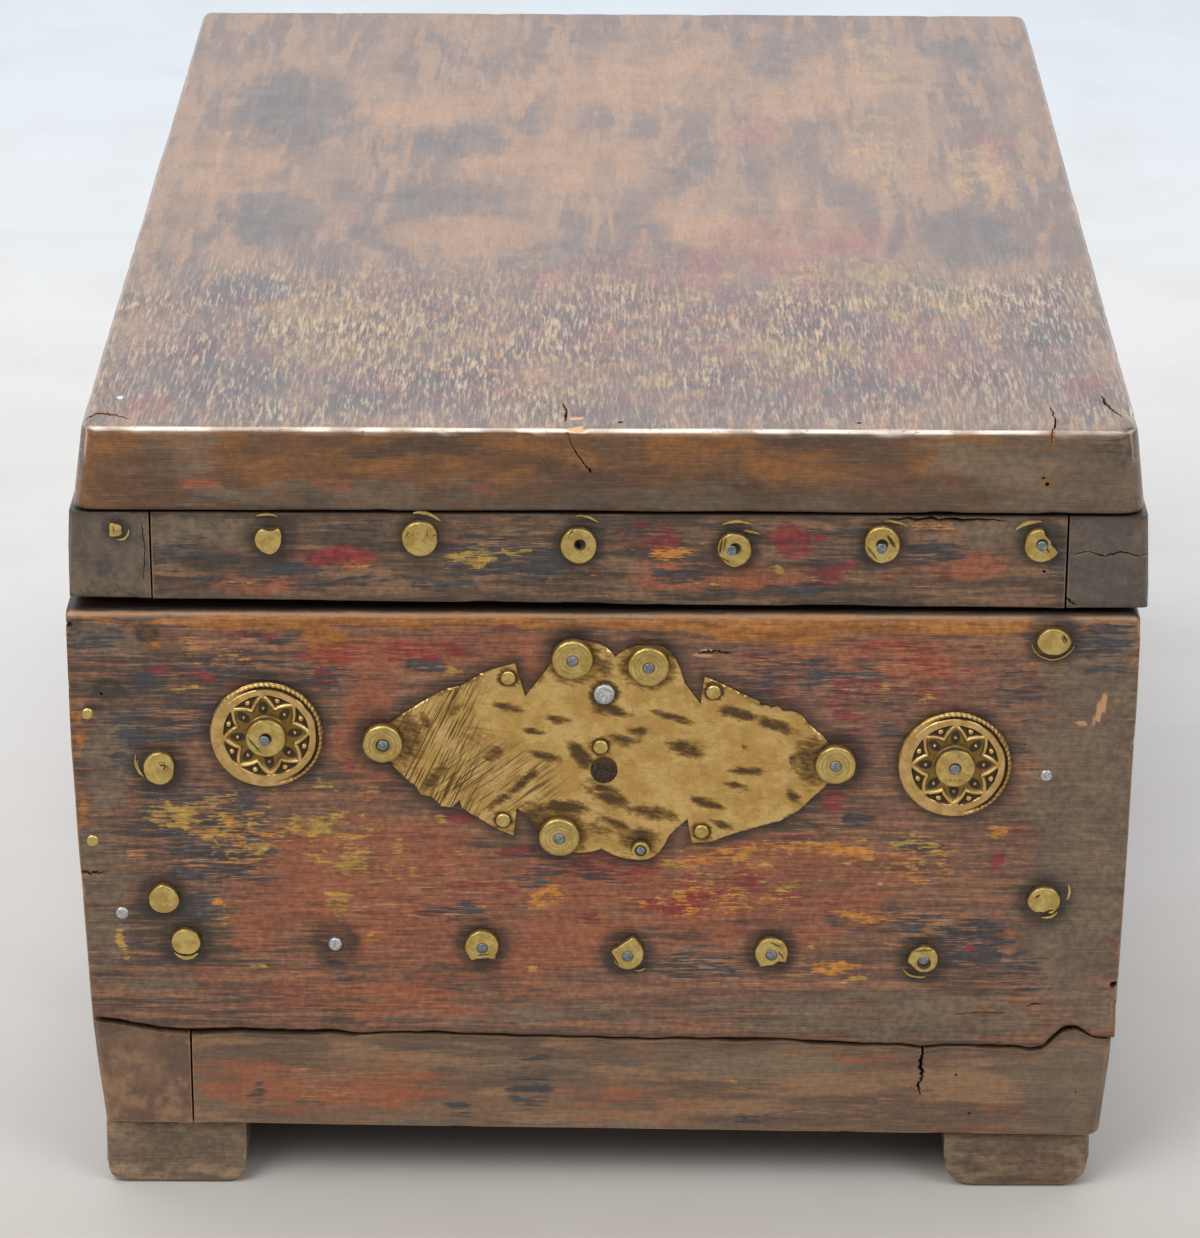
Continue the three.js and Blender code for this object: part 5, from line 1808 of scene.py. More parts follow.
# How far each stud's edge reaches, in radii, at some angles in degrees anticlockwise from the right
STUD_EDGES = {
    "column_stud_left_upper": (
        (0, 0.86), (60, 1.04), (90, 1.04), (140, 0.95), (180, 0.84), (270, 0.95), (320, 0.92),
    ),
    "column_stud_left_lower": (
        (0, 1.0), (45, 0.96), (90, 1.0), (120, 0.86), (180, 0.74), (215, 0.74), (270, 0.76), (315, 0.88),
    ),
    "column_stud_right_upper": (
        (0, 1.0), (40, 0.85), (90, 0.8), (135, 0.85), (180, 0.95), (225, 0.84), (270, 0.76), (315, 0.86),
    ),
    "column_stud_right_lower": (
        (0, 0.92), (45, 0.98), (90, 0.95), (135, 0.96), (180, 0.95), (225, 0.76), (255, 0.56), (285, 0.6),
        (305, 0.86), (330, 0.82),
    ),
    "lower_stud_1": (
        (0, 0.84), (45, 0.95), (90, 0.98), (135, 0.94), (180, 0.8), (225, 0.66), (270, 0.56), (315, 0.68),
    ),
    "lower_stud_3": (
        (0, 0.92), (45, 1.0), (90, 1.04), (135, 1.03), (180, 0.98), (215, 0.93), (230, 1.04), (246, 0.76),
        (270, 0.68), (298, 0.72), (314, 1.03), (328, 0.88),
    ),
    "lower_stud_4": (
        (0, 0.9), (50, 1.06), (76, 1.2), (88, 0.98), (106, 0.82), (126, 0.77), (146, 0.82), (160, 0.96),
        (167, 1.0), (176, 0.84), (200, 0.82), (240, 0.85), (270, 0.84), (315, 0.88),
    ),
    "lower_stud_5": (
        (0, 0.95), (45, 1.03), (90, 1.04), (135, 1.02), (180, 0.93), (215, 0.9), (231, 1.0), (246, 0.76),
        (270, 0.64), (290, 0.58), (306, 0.54), (322, 0.62), (332, 0.98), (345, 0.9),
    ),
    "lower_stud_6": (
        (0, 0.78), (45, 0.95), (90, 1.0), (135, 0.96), (168, 0.93), (178, 0.95), (192, 0.7), (215, 0.63),
        (270, 0.58), (315, 0.66),
    ),
    "lid_stud_1": (
        (0, 0.5), (35, 0.66), (90, 0.62), (135, 0.92), (180, 0.66), (225, 0.95), (270, 0.62), (325, 0.66),
    ),
    "lid_stud_2": (
        (0, 0.5), (50, 0.74), (62, 0.76), (74, 0.56), (98, 0.54), (112, 0.62), (128, 0.82), (142, 0.9),
        (180, 0.94), (225, 0.87), (262, 0.86), (300, 0.66), (330, 0.53),
    ),
    "lid_stud_3": (
        (0, 0.8), (50, 0.86), (90, 0.84), (135, 1.0), (180, 1.12), (225, 1.15), (270, 1.12), (315, 0.96),
    ),
    "lid_stud_4": (
        (0, 0.9), (45, 0.88), (90, 0.9), (135, 0.98), (180, 1.06), (225, 1.12), (270, 1.14), (315, 1.0),
    ),
    "lid_stud_5": (
        (0, 0.88), (45, 0.84), (90, 0.84), (135, 0.88), (180, 0.96), (225, 0.96), (270, 1.12), (315, 1.0),
    ),
    "lid_stud_6": (
        (0, 0.98), (45, 0.96), (90, 1.0), (135, 1.0), (180, 0.93), (225, 1.0), (270, 1.14), (315, 1.06),
    ),
    "lid_stud_7": (
        (0, 0.4), (40, 0.34), (70, 0.48), (84, 0.78), (96, 0.84), (135, 0.92), (180, 0.93), (225, 1.04),
        (270, 1.06), (305, 1.02), (332, 1.0), (345, 0.62),
    ),
    "plate_stud_bottom_right": ((0, 0.78), (90, 0.74), (180, 0.76), (215, 0.66), (240, 0.78), (300, 0.8)),
    "plate_stud_left": ((0, 0.96), (90, 1.0), (180, 1.0), (270, 0.98)),
}

# Where a stud's nail lies from its middle, in millimetres along x and z
NAIL_SHIFTS = {
    "lower_stud_6": (-0.1, 0.8), "lid_stud_4": (-1.1, -0.5), "lid_stud_5": (-0.9, -0.6),
    "lid_stud_6": (-0.1, -1.1), "lid_stud_7": (0.0, -0.5), "rosette_stud_left": (-0.4, -0.6),
    "rosette_stud_right": (0.0, -0.3),
}

# Cuts and scratches in a stud's face, from its middle: x, z, half length, half width and tilt
FACE_CUTS = {
    "column_stud_left_upper": (
        (0.9, 0.7, 1.5, 0.14, -55), (1.4, 0.9, 1.5, 0.12, -55), (1.9, 1.0, 1.3, 0.12, -55),
    ),
    "column_stud_right_upper": ((2.6, 1.1, 1.0, 0.3, -60), (2.2, 0.6, 1.0, 0.14, -60)),
    "column_stud_right_lower": ((-1.6, 1.8, 0.7, 0.3, 35), (1.2, -2.2, 1.3, 0.3, 20)),
    "lower_stud_3": ((0.3, -1.9, 1.6, 0.16, 5),),
    "lower_stud_4": ((-3.0, -0.9, 2.0, 0.2, -62),),
    "lower_stud_5": ((1.2, 2.7, 1.7, 0.16, -25), (2.4, -0.1, 1.4, 0.16, -55)),
    "lower_stud_6": ((0.2, 3.3, 2.2, 0.14, 5),),
    "lid_stud_1": ((-0.7, 0.1, 0.9, 0.1, 88),),
    "lid_stud_3": (
        (-3.6, 0.6, 1.0, 0.1, 88), (-3.1, 0.6, 1.0, 0.1, 88), (1.2, 1.0, 1.2, 0.1, 85),
        (-2.2, 0.7, 0.8, 0.1, 88), (2.9, 0.6, 0.7, 0.12, 30),
    ),
    "lid_stud_4": ((-2.0, 3.0, 1.0, 0.14, 50),),
    "lid_stud_5": ((-3.3, 0.6, 1.9, 0.28, 82), (-2.4, 1.2, 1.7, 0.2, 80), (-2.2, -2.9, 1.6, 0.16, -30)),
    "lid_stud_6": ((2.1, 0.8, 1.8, 0.42, -58), (-2.4, -2.0, 1.8, 0.2, -52), (-2.9, -1.4, 1.4, 0.14, -56)),
    "lid_stud_7": ((0.9, -1.0, 1.4, 0.3, -50),),
    "rosette_stud_left": (
        (-2.9, -1.6, 2.0, 0.16, -52), (-2.4, -2.0, 2.0, 0.14, -50), (-3.4, -0.9, 1.5, 0.12, -56),
    ),
    "rosette_stud_right": ((0.0, -3.0, 2.4, 0.1, 0),),
}


class HeadShape(Enum):
    """Kinds of stud heads."""

    HOLED = "holed"
    PLAIN = "plain"


@dataclass
class Studs:
    """Brass studs with iron nails: filed flat, with broken edges and old cuts."""

    brass: Material
    iron: Material
    # near-black finish for a hole whose nail is lost: painted shade
    hollow: Material
    nail_radius: float = 1.3
    steps: int = 64

    # The nail's profile, as radius and place along y
    NAIL = ((0, -1), (0.6, -0.98), (0.9, -0.8), (1.0, -0.4), (1.0, 0.4), (0, 0.4))

    PLAIN_HEADS = ("lower_stud_1", "lid_stud_1", "lid_stud_2", "lid_stud_3")
    RINGED_HEADS = ("plate_stud_left", "plate_stud_bottom_right", "lower_stud_6")
    LARGE_HEADS = ("plate_stud_left", "plate_stud_right", "plate_stud_top_left", "plate_stud_top_right",
                   "plate_stud_bottom_left")

    def build(self) -> None:
        """Makes every stud from one master of each kind."""
        masters = {kind: self.master(kind) for kind in HeadShape}
        nail = turned("nail_master", self.NAIL, 24)
        smooth(nail, 50)
        names = [*sorted(Fittings.STUDS), "rosette_stud_left", "rosette_stud_right"]
        for index, node in enumerate(names):
            self.stud(node, masters[self.kind(node)], nail, index)
        for master in (*masters.values(), nail):
            bpy.data.objects.remove(master)

    @classmethod
    def kind(cls, node: str) -> HeadShape:
        """Which head a stud has."""
        if node.startswith("column") or node in cls.PLAIN_HEADS:
            return HeadShape.PLAIN
        return HeadShape.HOLED

    def master(self, kind: HeadShape) -> Piece:
        """One head of radius 1 and height 1, whose face looks towards -y."""
        rings = (0.46, 0.52, 0.58, 0.64, 0.7, 0.76, 0.81, 0.86)
        inner = [(0, -0.98), (0.1, -0.98), (0.2, -0.98), (0.3, -0.98), (0.38, -0.98)]
        if kind is HeadShape.HOLED:
            inner = [(0, -0.55), (0.16, -0.55), (0.2, -0.6), (0.24, -0.88), (0.28, -0.97), (0.36, -1.0)]
        face = [(r, -1.0) for r in rings]
        rim = [
            (0.9, -0.97), (0.94, -0.88), (0.975, -0.68), (0.995, -0.4), (1.0, -0.1), (0.97, 0.12),
            (0.3, 0.16), (0, 0.16),
        ]
        piece = turned(f"{kind.value}_master", inner + face + rim, self.steps)
        smooth(piece, 50)
        return piece

    def stud(self, node: str, master: Piece, nail: Piece, index: int) -> None:
        """One stud at its node, with its broken edge, its cuts and its nail."""
        x, z, radius = Fittings.spot(node)
        low, _ = PLACE.box(node)
        height = self.height(node)
        seat = float(low[1]) + height
        head = copy_of(master, node + "_head", PLACE.at(x, seat, z), 0, (radius, height, radius))
        points = points_of(head)
        aside_x, aside_z = points[:, 0] - x, points[:, 2] - z
        far = np.hypot(aside_x, aside_z) / radius
        reach = self.reach(node, aside_x, aside_z, index)
        draw = 1 - (1 - reach) * ease(0.32, 1.0, far)
        points[:, 0] = x + aside_x * draw
        points[:, 2] = z + aside_z * draw
        front = points[:, 1] < seat - 0.3 * height
        coarse = noise_at(points, radius * 0.9, index * 1.3)
        lumps = coarse + 0.5 * noise_at(points, radius * 0.35, index * 1.7)
        points[front, 1] += (0.09 * lumps * (1 - ease(0.8, 1.0, far)))[front]
        if node in self.LARGE_HEADS:
            points[front, 1] += (0.5 * ease(0.5, 1.0, far))[front]
        cuts = strokes_at(FACE_CUTS.get(node, ()), points[:, 0] - x, points[:, 2] - z)
        points[front, 1] += (0.22 * cuts)[front]
        move_points(head, points)
        # The upper rim takes more of the dark tarnish colour than the lower one: painted shade for how
        # the light falls on the rims
        painted_upper_shade = np.sign(aside_z) * ease(0.2, 0.9, np.abs(aside_z) / radius)
        edge = ease(0.84, 1.0, far) * (0.5 + 0.25 * painted_upper_shade)
        cloudy = 0.3 * np.maximum(0, noise_at(points, radius * 0.7, index + 3))
        tarnish = np.maximum(edge + cloudy, cuts)
        if self.kind(node) is HeadShape.HOLED:
            hole = self.nail_radius / radius
            reach_out = 0.16 if node in self.RINGED_HEADS else 0.04
            tarnish = np.maximum(tarnish, 1.2 * (1 - ease(hole, hole + reach_out, far)))
        if node in self.LARGE_HEADS:
            turning = np.abs(np.sin(far * 17 + 0.6 * lumps)) ** 6
            tarnish = np.maximum(tarnish, 0.42 * turning * ease(0.36, 0.5, far))
        paint(head, "tarnish", tarnish)
        body = "lid" if node.startswith("lid") else "body"
        dress(head, self.brass, body, "brass", node)
        if self.kind(node) is HeadShape.HOLED:
            shift_x, shift_z = NAIL_SHIFTS.get(node, (0.0, 0.0))
            self.nail(node, nail, x + shift_x, z + shift_z, seat - height, index, body)

    @staticmethod
    def reach(node: str, aside_x: Array, aside_z: Array, index: int) -> Array:
        """How far the stud's edge reaches in each point's direction, in radii."""
        angle = np.degrees(np.arctan2(aside_z, aside_x)) % 360
        knots = STUD_EDGES.get(node, ((0, 1.0), (180, 1.0)))
        plain = np.interp(angle, *np.array(knots).T, period=360)
        around = np.column_stack([np.cos(np.radians(angle)), np.sin(np.radians(angle)), 0 * angle])
        return plain + 0.02 * noise_at(around, 0.25, index) + 0.02 * noise_at(around, 0.9, index + 30)

    @staticmethod
    def height(node: str) -> float:
        """How far a stud's head stands out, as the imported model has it."""
        if node == "plate_stud_bottom_right":
            return 1.2
        if node.startswith("plate"):
            return 1.9
        if node.startswith("rosette"):
            return 1.7
        return 0.8 if node == "lid_stud_1" else 1.5

    def nail(self, node: str, master: Piece, x: float, z: float, face: float, index: int,
             body: str) -> None:
        """The nail that shows in a stud's hole or, where the nail is lost, a near-black disc in the hole
        as painted shade.
        """
        radius = self.nail_radius * (0.8 if node == "plate_stud_bottom_right" else 1)
        lost = node == "lid_stud_4"
        size = (radius, 0.3, radius * 0.97)
        spot = PLACE.at(x, face + (0.5 if lost else 0.18), z)
        piece = copy_of(master, node + "_nail", spot, index, size)
        dress(piece, self.hollow if lost else self.iron, body, "iron")


@dataclass
class Rosette:
    """A pressed brass disc: a roped rim, a bright ring, and a star with dots round a hub."""

    brass: Material
    points: int = 8
    steps: int = 256
    rings: int = 64
    rope_turns: int = 64
    valley: float = 7.1
    tip: float = 10.2
    ring_inner: float = 10.3
    ring_outer: float = 11.9
    rim_inner: float = 12.7
    radius: float = 13.5

    def build(self) -> None:
        """Makes both rosettes from one master, each worn in its own way."""
        master = self.master()
        for node, turn, seed in (("rosette_left", -0.085, 1), ("rosette_right", 0.0, 2)):
            x, z, _ = Fittings.spot(node)
            _, high = PLACE.box(node)
            piece = copy_of(master, node + "_pressed", PLACE.at(x, float(high[1]), z), 0)
            self.press(piece, x, float(high[1]), z, turn, seed)
            smooth(piece, 60)
            dress(piece, self.brass, "body", "brass", node)
        bpy.data.objects.remove(master)

    def relief(self, r: Array, angle: Array, turn: float, wear: Array) -> tuple[Array, Array]:
        """The face's height and tarnish at each radius and angle.

        Args:
            r: distance from the middle, in millimetres.
            angle: angle clockwise from the top, in radians.
            turn: how far the star is turned.
            wear: noise from -1 to 1 that breaks the relief.

        Returns:
            Height above the seat, and tarnish from 0 to 1.
        """
        share = ((angle - turn) / (2 * math.pi) * self.points) % 1
        saw = np.abs(share * 2 - 1)
        ridge = self.valley + (self.tip - self.valley) * saw
        slope = 1.0 - 0.28 * (saw > 0.05)
        star = 1 - ease(0.22, 0.6, np.abs(r - ridge) * slope)
        inside = 1 - ease(-0.2, 0.2, r - ridge)
        ring = self.band(r, self.ring_inner, self.ring_outer)
        outer_dot = self.dots(share, r, 0.5, 9.35, 0.62)
        inner_dot = 0.75 * self.dots(share, r, 0.0, 6.9, 0.4)
        leaf = self.leaf(share, r)
        hub = 1 - ease(4.3, 5.2, r)
        rope = 0.5 + 0.5 * np.cos(angle * self.rope_turns + r * 2.2)
        merged = ease(-0.35, 0.6, np.cos(angle - math.radians(245)) + 0.25 * wear)
        groove = self.band(r, self.ring_outer + 0.1, self.rim_inner - 0.1) * (1 - merged)
        rim = ease(self.rim_inner - 0.2, self.rim_inner, r)
        land = ease(self.ring_inner - 0.2, self.ring_inner + 0.1, r)
        land = land * (1 - groove)
        raised = np.maximum.reduce([ring, 0.9 * star, outer_dot, inner_dot, land, 0.5 * hub])
        broken = 1 - 0.5 * ease(0.3, 0.8, wear) * inside
        height = 0.95 + 0.72 * raised * broken + 0.12 * inside * (1 - leaf)
        height = np.where(rim > 0.5, 1.5 + 0.2 * rope * (1 - 0.6 * merged), height)
        height *= 1 - 0.4 * ease(13.15, 13.5, r)
        tarnish = 0.92 - 0.32 * inside * (1 - leaf) * (1 - hub)
        tarnish = tarnish * (1 - np.minimum(1, 1.05 * raised * broken))
        tarnish = np.where(rim > 0.5, (0.55 - 0.5 * rope) * (1 - merged) + 0.1 * merged, tarnish)
        return height, tarnish + 0.1 * ease(0.2, 0.8, wear)

    @staticmethod
    def band(r: Array, inner: float, outer: float, soft: float = 0.25) -> Array:
        """1 between two radii, falling to 0 over a soft edge."""
        half = soft / 2
        return ease(inner - half, inner + half, r) * (1 - ease(outer - half, outer + half, r))

    def across(self, share: Array, at: float, distance: Array | float) -> Array:
        """How far aside each point lies from a ray of the star, in millimetres."""
        aside = (share - at + 0.5) % 1 - 0.5
        return aside * 2 * math.pi * distance / self.points

    def dots(self, share: Array, r: Array, at: float, distance: float, size: float) -> Array:
        """Small round bosses, one in each point or gap of the star."""
        return 1 - ease(size * 0.7, size * 1.3, np.hypot(self.across(share, at, distance), r - distance))

    def leaf(self, share: Array, r: Array) -> Array:
        """A dark hollow like a leaf inside each point of the star."""
        return 1 - ease(0.75, 1.05, np.hypot(self.across(share, 0.0, r) / 1.25, (r - 6.9) / 2.0))

    def master(self) -> Piece:
        """The flat disc round the frame's origin, its seat at y 0 and its face towards -y."""
        start = 3.6
        inner = np.linspace(start, self.rim_inner, self.rings)
        outer = [12.9, 13.1, 13.3, 13.42, self.radius]
        profile = [(float(r), -1.0) for r in (*inner, *outer)]
        profile += [(self.radius, -0.3), (13.3, 0.0), (start, 0.0), (start, -0.6)]
        return turned("rosette_master", profile, self.steps)

    def press(self, piece: Piece, x: float, seat: float, z: float, turn: float, seed: int) -> None:
        """Presses the star, ring and rim into a disc."""
        points = points_of(piece)
        aside_x, aside_z = points[:, 0] - x, points[:, 2] - z
        r = np.hypot(aside_x, aside_z)
        angle = np.arctan2(aside_x, aside_z)
        wear = noise_at(points, 5.0, seed)
        warped = r + 0.12 * noise_at(points, 3.0, seed + 4)
        height, tarnish = self.relief(warped, angle, turn, wear)
        face = points[:, 1] < seat - 0.8
        points[face, 1] = seat - height[face]
        wobble = 1 + 0.008 * noise_at(np.column_stack([np.cos(angle), np.sin(angle), 0 * r]), 0.5, seed)
        points[:, 0] = x + aside_x * wobble
        points[:, 2] = z + aside_z * wobble
        move_points(piece, points)
        paint(piece, "tarnish", np.where(face, tarnish, 0.5))


@dataclass
class LockPlate:
    """The hand-cut plate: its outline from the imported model, hammered, stained and scratched."""

    sheet: Material
    brass: Material
    iron: Material
    plug: Material
    node: str = "lock_plate"
    cell: float = 0.9

    # Brown strokes in the dents: x, z, half length, half width, tilt in degrees, strength
    STROKES = (
        (-23.0, 129.5, 4.5, 1.1, -12, 1.0), (-16.5, 123.2, 2.8, 0.9, -10, 0.9),
        (-11.0, 126.3, 3.2, 1.1, -5, 0.9), (-13.5, 116.6, 4.5, 1.1, -10, 0.9),
        (-26.0, 117.2, 3.2, 1.7, 35, 0.8), (-5.4, 117.0, 4.6, 2.0, -52, 1.0),
        (-0.1, 108.3, 3.2, 1.2, -20, 0.9), (-19.0, 110.0, 5.5, 1.3, 42, 0.9),
        (4.9, 121.0, 4.0, 1.4, -8, 0.8), (-34.9, 128.8, 3.0, 1.0, 40, 0.8),
        (-41.9, 125.4, 3.0, 1.2, -60, 0.7), (-39.9, 111.1, 5.0, 1.6, 50, 0.8),
        (-24.0, 105.6, 5.0, 1.2, 38, 0.8), (-10.0, 103.4, 6.5, 2.0, 0, 1.0),
        (31.8, 128.2, 5.5, 1.7, -15, 1.0), (41.3, 124.9, 5.5, 1.5, -18, 1.0),
        (16.4, 127.1, 5.5, 1.1, -18, 0.9), (8.5, 123.2, 3.0, 1.4, -5, 0.9),
        (19.9, 118.8, 5.0, 2.2, -15, 0.9), (3.0, 128.2, 4.5, 1.0, -12, 0.9),
        (34.8, 113.1, 4.5, 1.0, -3, 1.0), (32.3, 109.1, 3.5, 1.0, -10, 0.9),
        (24.9, 104.7, 5.0, 1.3, -15, 1.0), (28.3, 98.9, 3.0, 1.2, -20, 0.8),
        (11.4, 102.2, 6.5, 1.8, -12, 0.9), (1.5, 107.8, 3.0, 1.2, -15, 0.9),
        (3.5, 98.9, 5.0, 1.4, -25, 0.9), (45.7, 106.7, 2.2, 1.5, -50, 0.9),
        (45.3, 115.5, 0.8, 2.5, 0, 0.9), (8.5, 95.6, 4.5, 3.0, 0, 0.9), (33.8, 119.4, 0.8, 0.8, 0, 0.9),
        (2.6, 105.6, 5.0, 1.8, -15, 1.0),
    )

    # Broad soft stains: x, z, half width, half height, strength
    CLOUDS = (
        (-15.5, 99.5, 6.5, 6.5, 0.9), (-46.5, 121.0, 4.5, 8.0, 0.7), (49.5, 116.0, 4.0, 8.0, 0.8),
        (9.0, 94.5, 6.0, 4.5, 0.8), (0.5, 129.5, 4.5, 2.2, 0.8), (-1.0, 108.0, 4.5, 4.5, 0.55),
        (0.0, 140.0, 3.4, 4.0, 0.6), (0.0, 98.0, 9.0, 4.0, 0.45), (-30.0, 122.0, 5.0, 4.0, 0.3),
    )
    LARGE_STUDS = ("left", "right", "top_left", "top_right", "bottom_left")

    # Where the lower fan of file scratches lies, and where the steep one at the left tip ends
    LOW_FAN = (-25, 110, 15, 10, 0)
    STEEP_FAN_END = (-34, -26)

    def build(self) -> None:
        """Makes the plate, its pins, its nail and its plug."""
        plate = self.plate()
        self.mark(plate)
        smooth(plate, 35)
        dress(plate, self.sheet, "body", "sheet_brass", self.node)
        pin = turned("pin_master", [
            (0, -1), (0.6, -0.98), (0.86, -0.86), (0.98, -0.55), (1, 0.4), (0.9, 0.9), (0, 0.9)], 24)
        smooth(pin, 50)
        for index, node in enumerate(Fittings.PINS):
            self.small(node, pin, 0.5, self.brass, "brass", index)
        self.small("plate_nail", pin, 0.8, self.iron, "iron", 9)
        self.small("plate_plug", pin, 0.4, self.plug, "iron", 10)
        self.small("lower_nail_2", pin, 0.8, self.iron, "iron", 11)
        bpy.data.objects.remove(pin)

    def small(self, node: str, master: Piece, height: float, finish: Material,
              slot: str, index: int) -> None:
        """A small head on its node."""
        x, z, radius = Fittings.spot(node)
        low, _ = PLACE.box(node)
        size = (radius, height, radius)
        piece = copy_of(master, node + "_head", PLACE.at(x, float(low[1]) + height, z), index, size)
        points = points_of(piece)
        points[:, 1] += 0.12 * noise_at(points, radius, index)
        move_points(piece, points)
        dress(piece, finish, "body", slot, node)

    def plate(self) -> Piece:
        """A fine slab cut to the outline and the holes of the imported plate."""
        low, high = PLACE.box(self.node)
        margin = np.array([1.0, 0.0, 1.0])
        deselect_all()
        cell = (self.cell, 5, self.cell)
        slab = grid_block("lock_plate_cut", low - margin, high + margin, cell, skirt=())
        tool = copy_mesh(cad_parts[self.node], "plate_tool")
        mend_normals(tool)
        middle = PLACE.at(0, (low[1] + high[1]) / 2, 0)
        with editing(tool):
            bpy.ops.transform.resize(value=(1, 1.6, 1), center_override=middle)
        cut_away(slab, [tool], "INTERSECT")
        return slab

    def mark(self, plate: Piece) -> None:
        """Hammers the face and lays the stains and file marks on it."""
        points = points_of(plate)
        x, z = points[:, 0], points[:, 2]
        edges = distance_to(Fittings.outline_points(self.node), points)
        low, high = PLACE.box(self.node)
        face = points[:, 1] < (low[1] + high[1]) / 2
        dents = 0.5 + 0.5 * noise_at(points, 7.0, 4)
        fine = 0.5 + 0.5 * noise_at(points, 2.4, 6)
        inset = 0.3 * dents + 0.08 * fine + 0.26 * (1 - ease(0.0, 1.0, edges))
        stain = 0.45 * (1 - ease(0.1, 1.3, edges)) * ease(-0.3, 0.4, noise_at(points, 9.0, 8))
        wobble = noise_at(points, 2.2, 12)
        for *stroke, strength in self.STROKES:
            far = stroke_reach(stroke, x, z) + 0.25 * wobble
            cover = strength * (1 - ease(0.3, 1.5, far))
            stain = np.maximum(stain, cover)
            inset = inset + 0.14 * cover
        for middle_x, middle_z, half_x, half_z, strength in self.CLOUDS:
            far = np.hypot((x - middle_x) / half_x, (z - middle_z) / half_z) + 0.15 * wobble
            stain = np.maximum(stain, strength * (1 - ease(0.3, 1.3, far)))
        for node in (*Fittings.PINS, "plate_nail"):
            stain = np.maximum(stain, self.round(node, x, z, 1.1, 1.75))
        for name in self.LARGE_STUDS:
            stain = np.maximum(stain, 0.7 * self.round(f"plate_stud_{name}", x, z, 1.0, 1.7))
        points[face, 1] += inset[face]
        move_points(plate, points)
        paint(plate, "tarnish", stain)
        paint(plate, "steep_fan", 1 - ease(*self.STEEP_FAN_END, x))
        paint(plate, "low_fan", 0.9 * (1 - ease(0.6, 1.3, stroke_reach(self.LOW_FAN, x, z))))

    @staticmethod
    def round(node: str, x: Array, z: Array, inner: float, outer: float) -> Array:
        """1 beside a fitting, falling to 0 between two distances in its radii."""
        middle_x, middle_z, radius = Fittings.spot(node)
        return 1 - ease(radius * inner, radius * outer, np.hypot(x - middle_x, z - middle_z))


@dataclass
class Hinges:
    """Two forged hinges on the back, each with two leaves and a pin."""

    iron: Material

    PARTS = (("hinge_body_leaf", "body"), ("hinge_lid_leaf", "lid"), ("hinge_pin", "body"))

    def build(self) -> None:
        """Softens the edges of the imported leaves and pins."""
        nodes = [(f"{part}_{side}", body) for side in ("left", "right") for part, body in self.PARTS]
        for node, body in nodes:
            piece = copy_mesh(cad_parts[node], node + "_forged")
            mend_normals(piece)
            with editing(piece):
                bpy.ops.mesh.dissolve_limited(angle_limit=math.radians(2))
            modifier = piece.modifiers.new("soft", "BEVEL")
            modifier.width = 0.3 * MM
            modifier.segments = 2
            modifier.limit_method = "ANGLE"
            modifier.angle_limit = math.radians(35)
            bpy.ops.object.modifier_apply(modifier=modifier.name)
            smooth(piece, 35)
            dress(piece, self.iron, body, "iron", node)


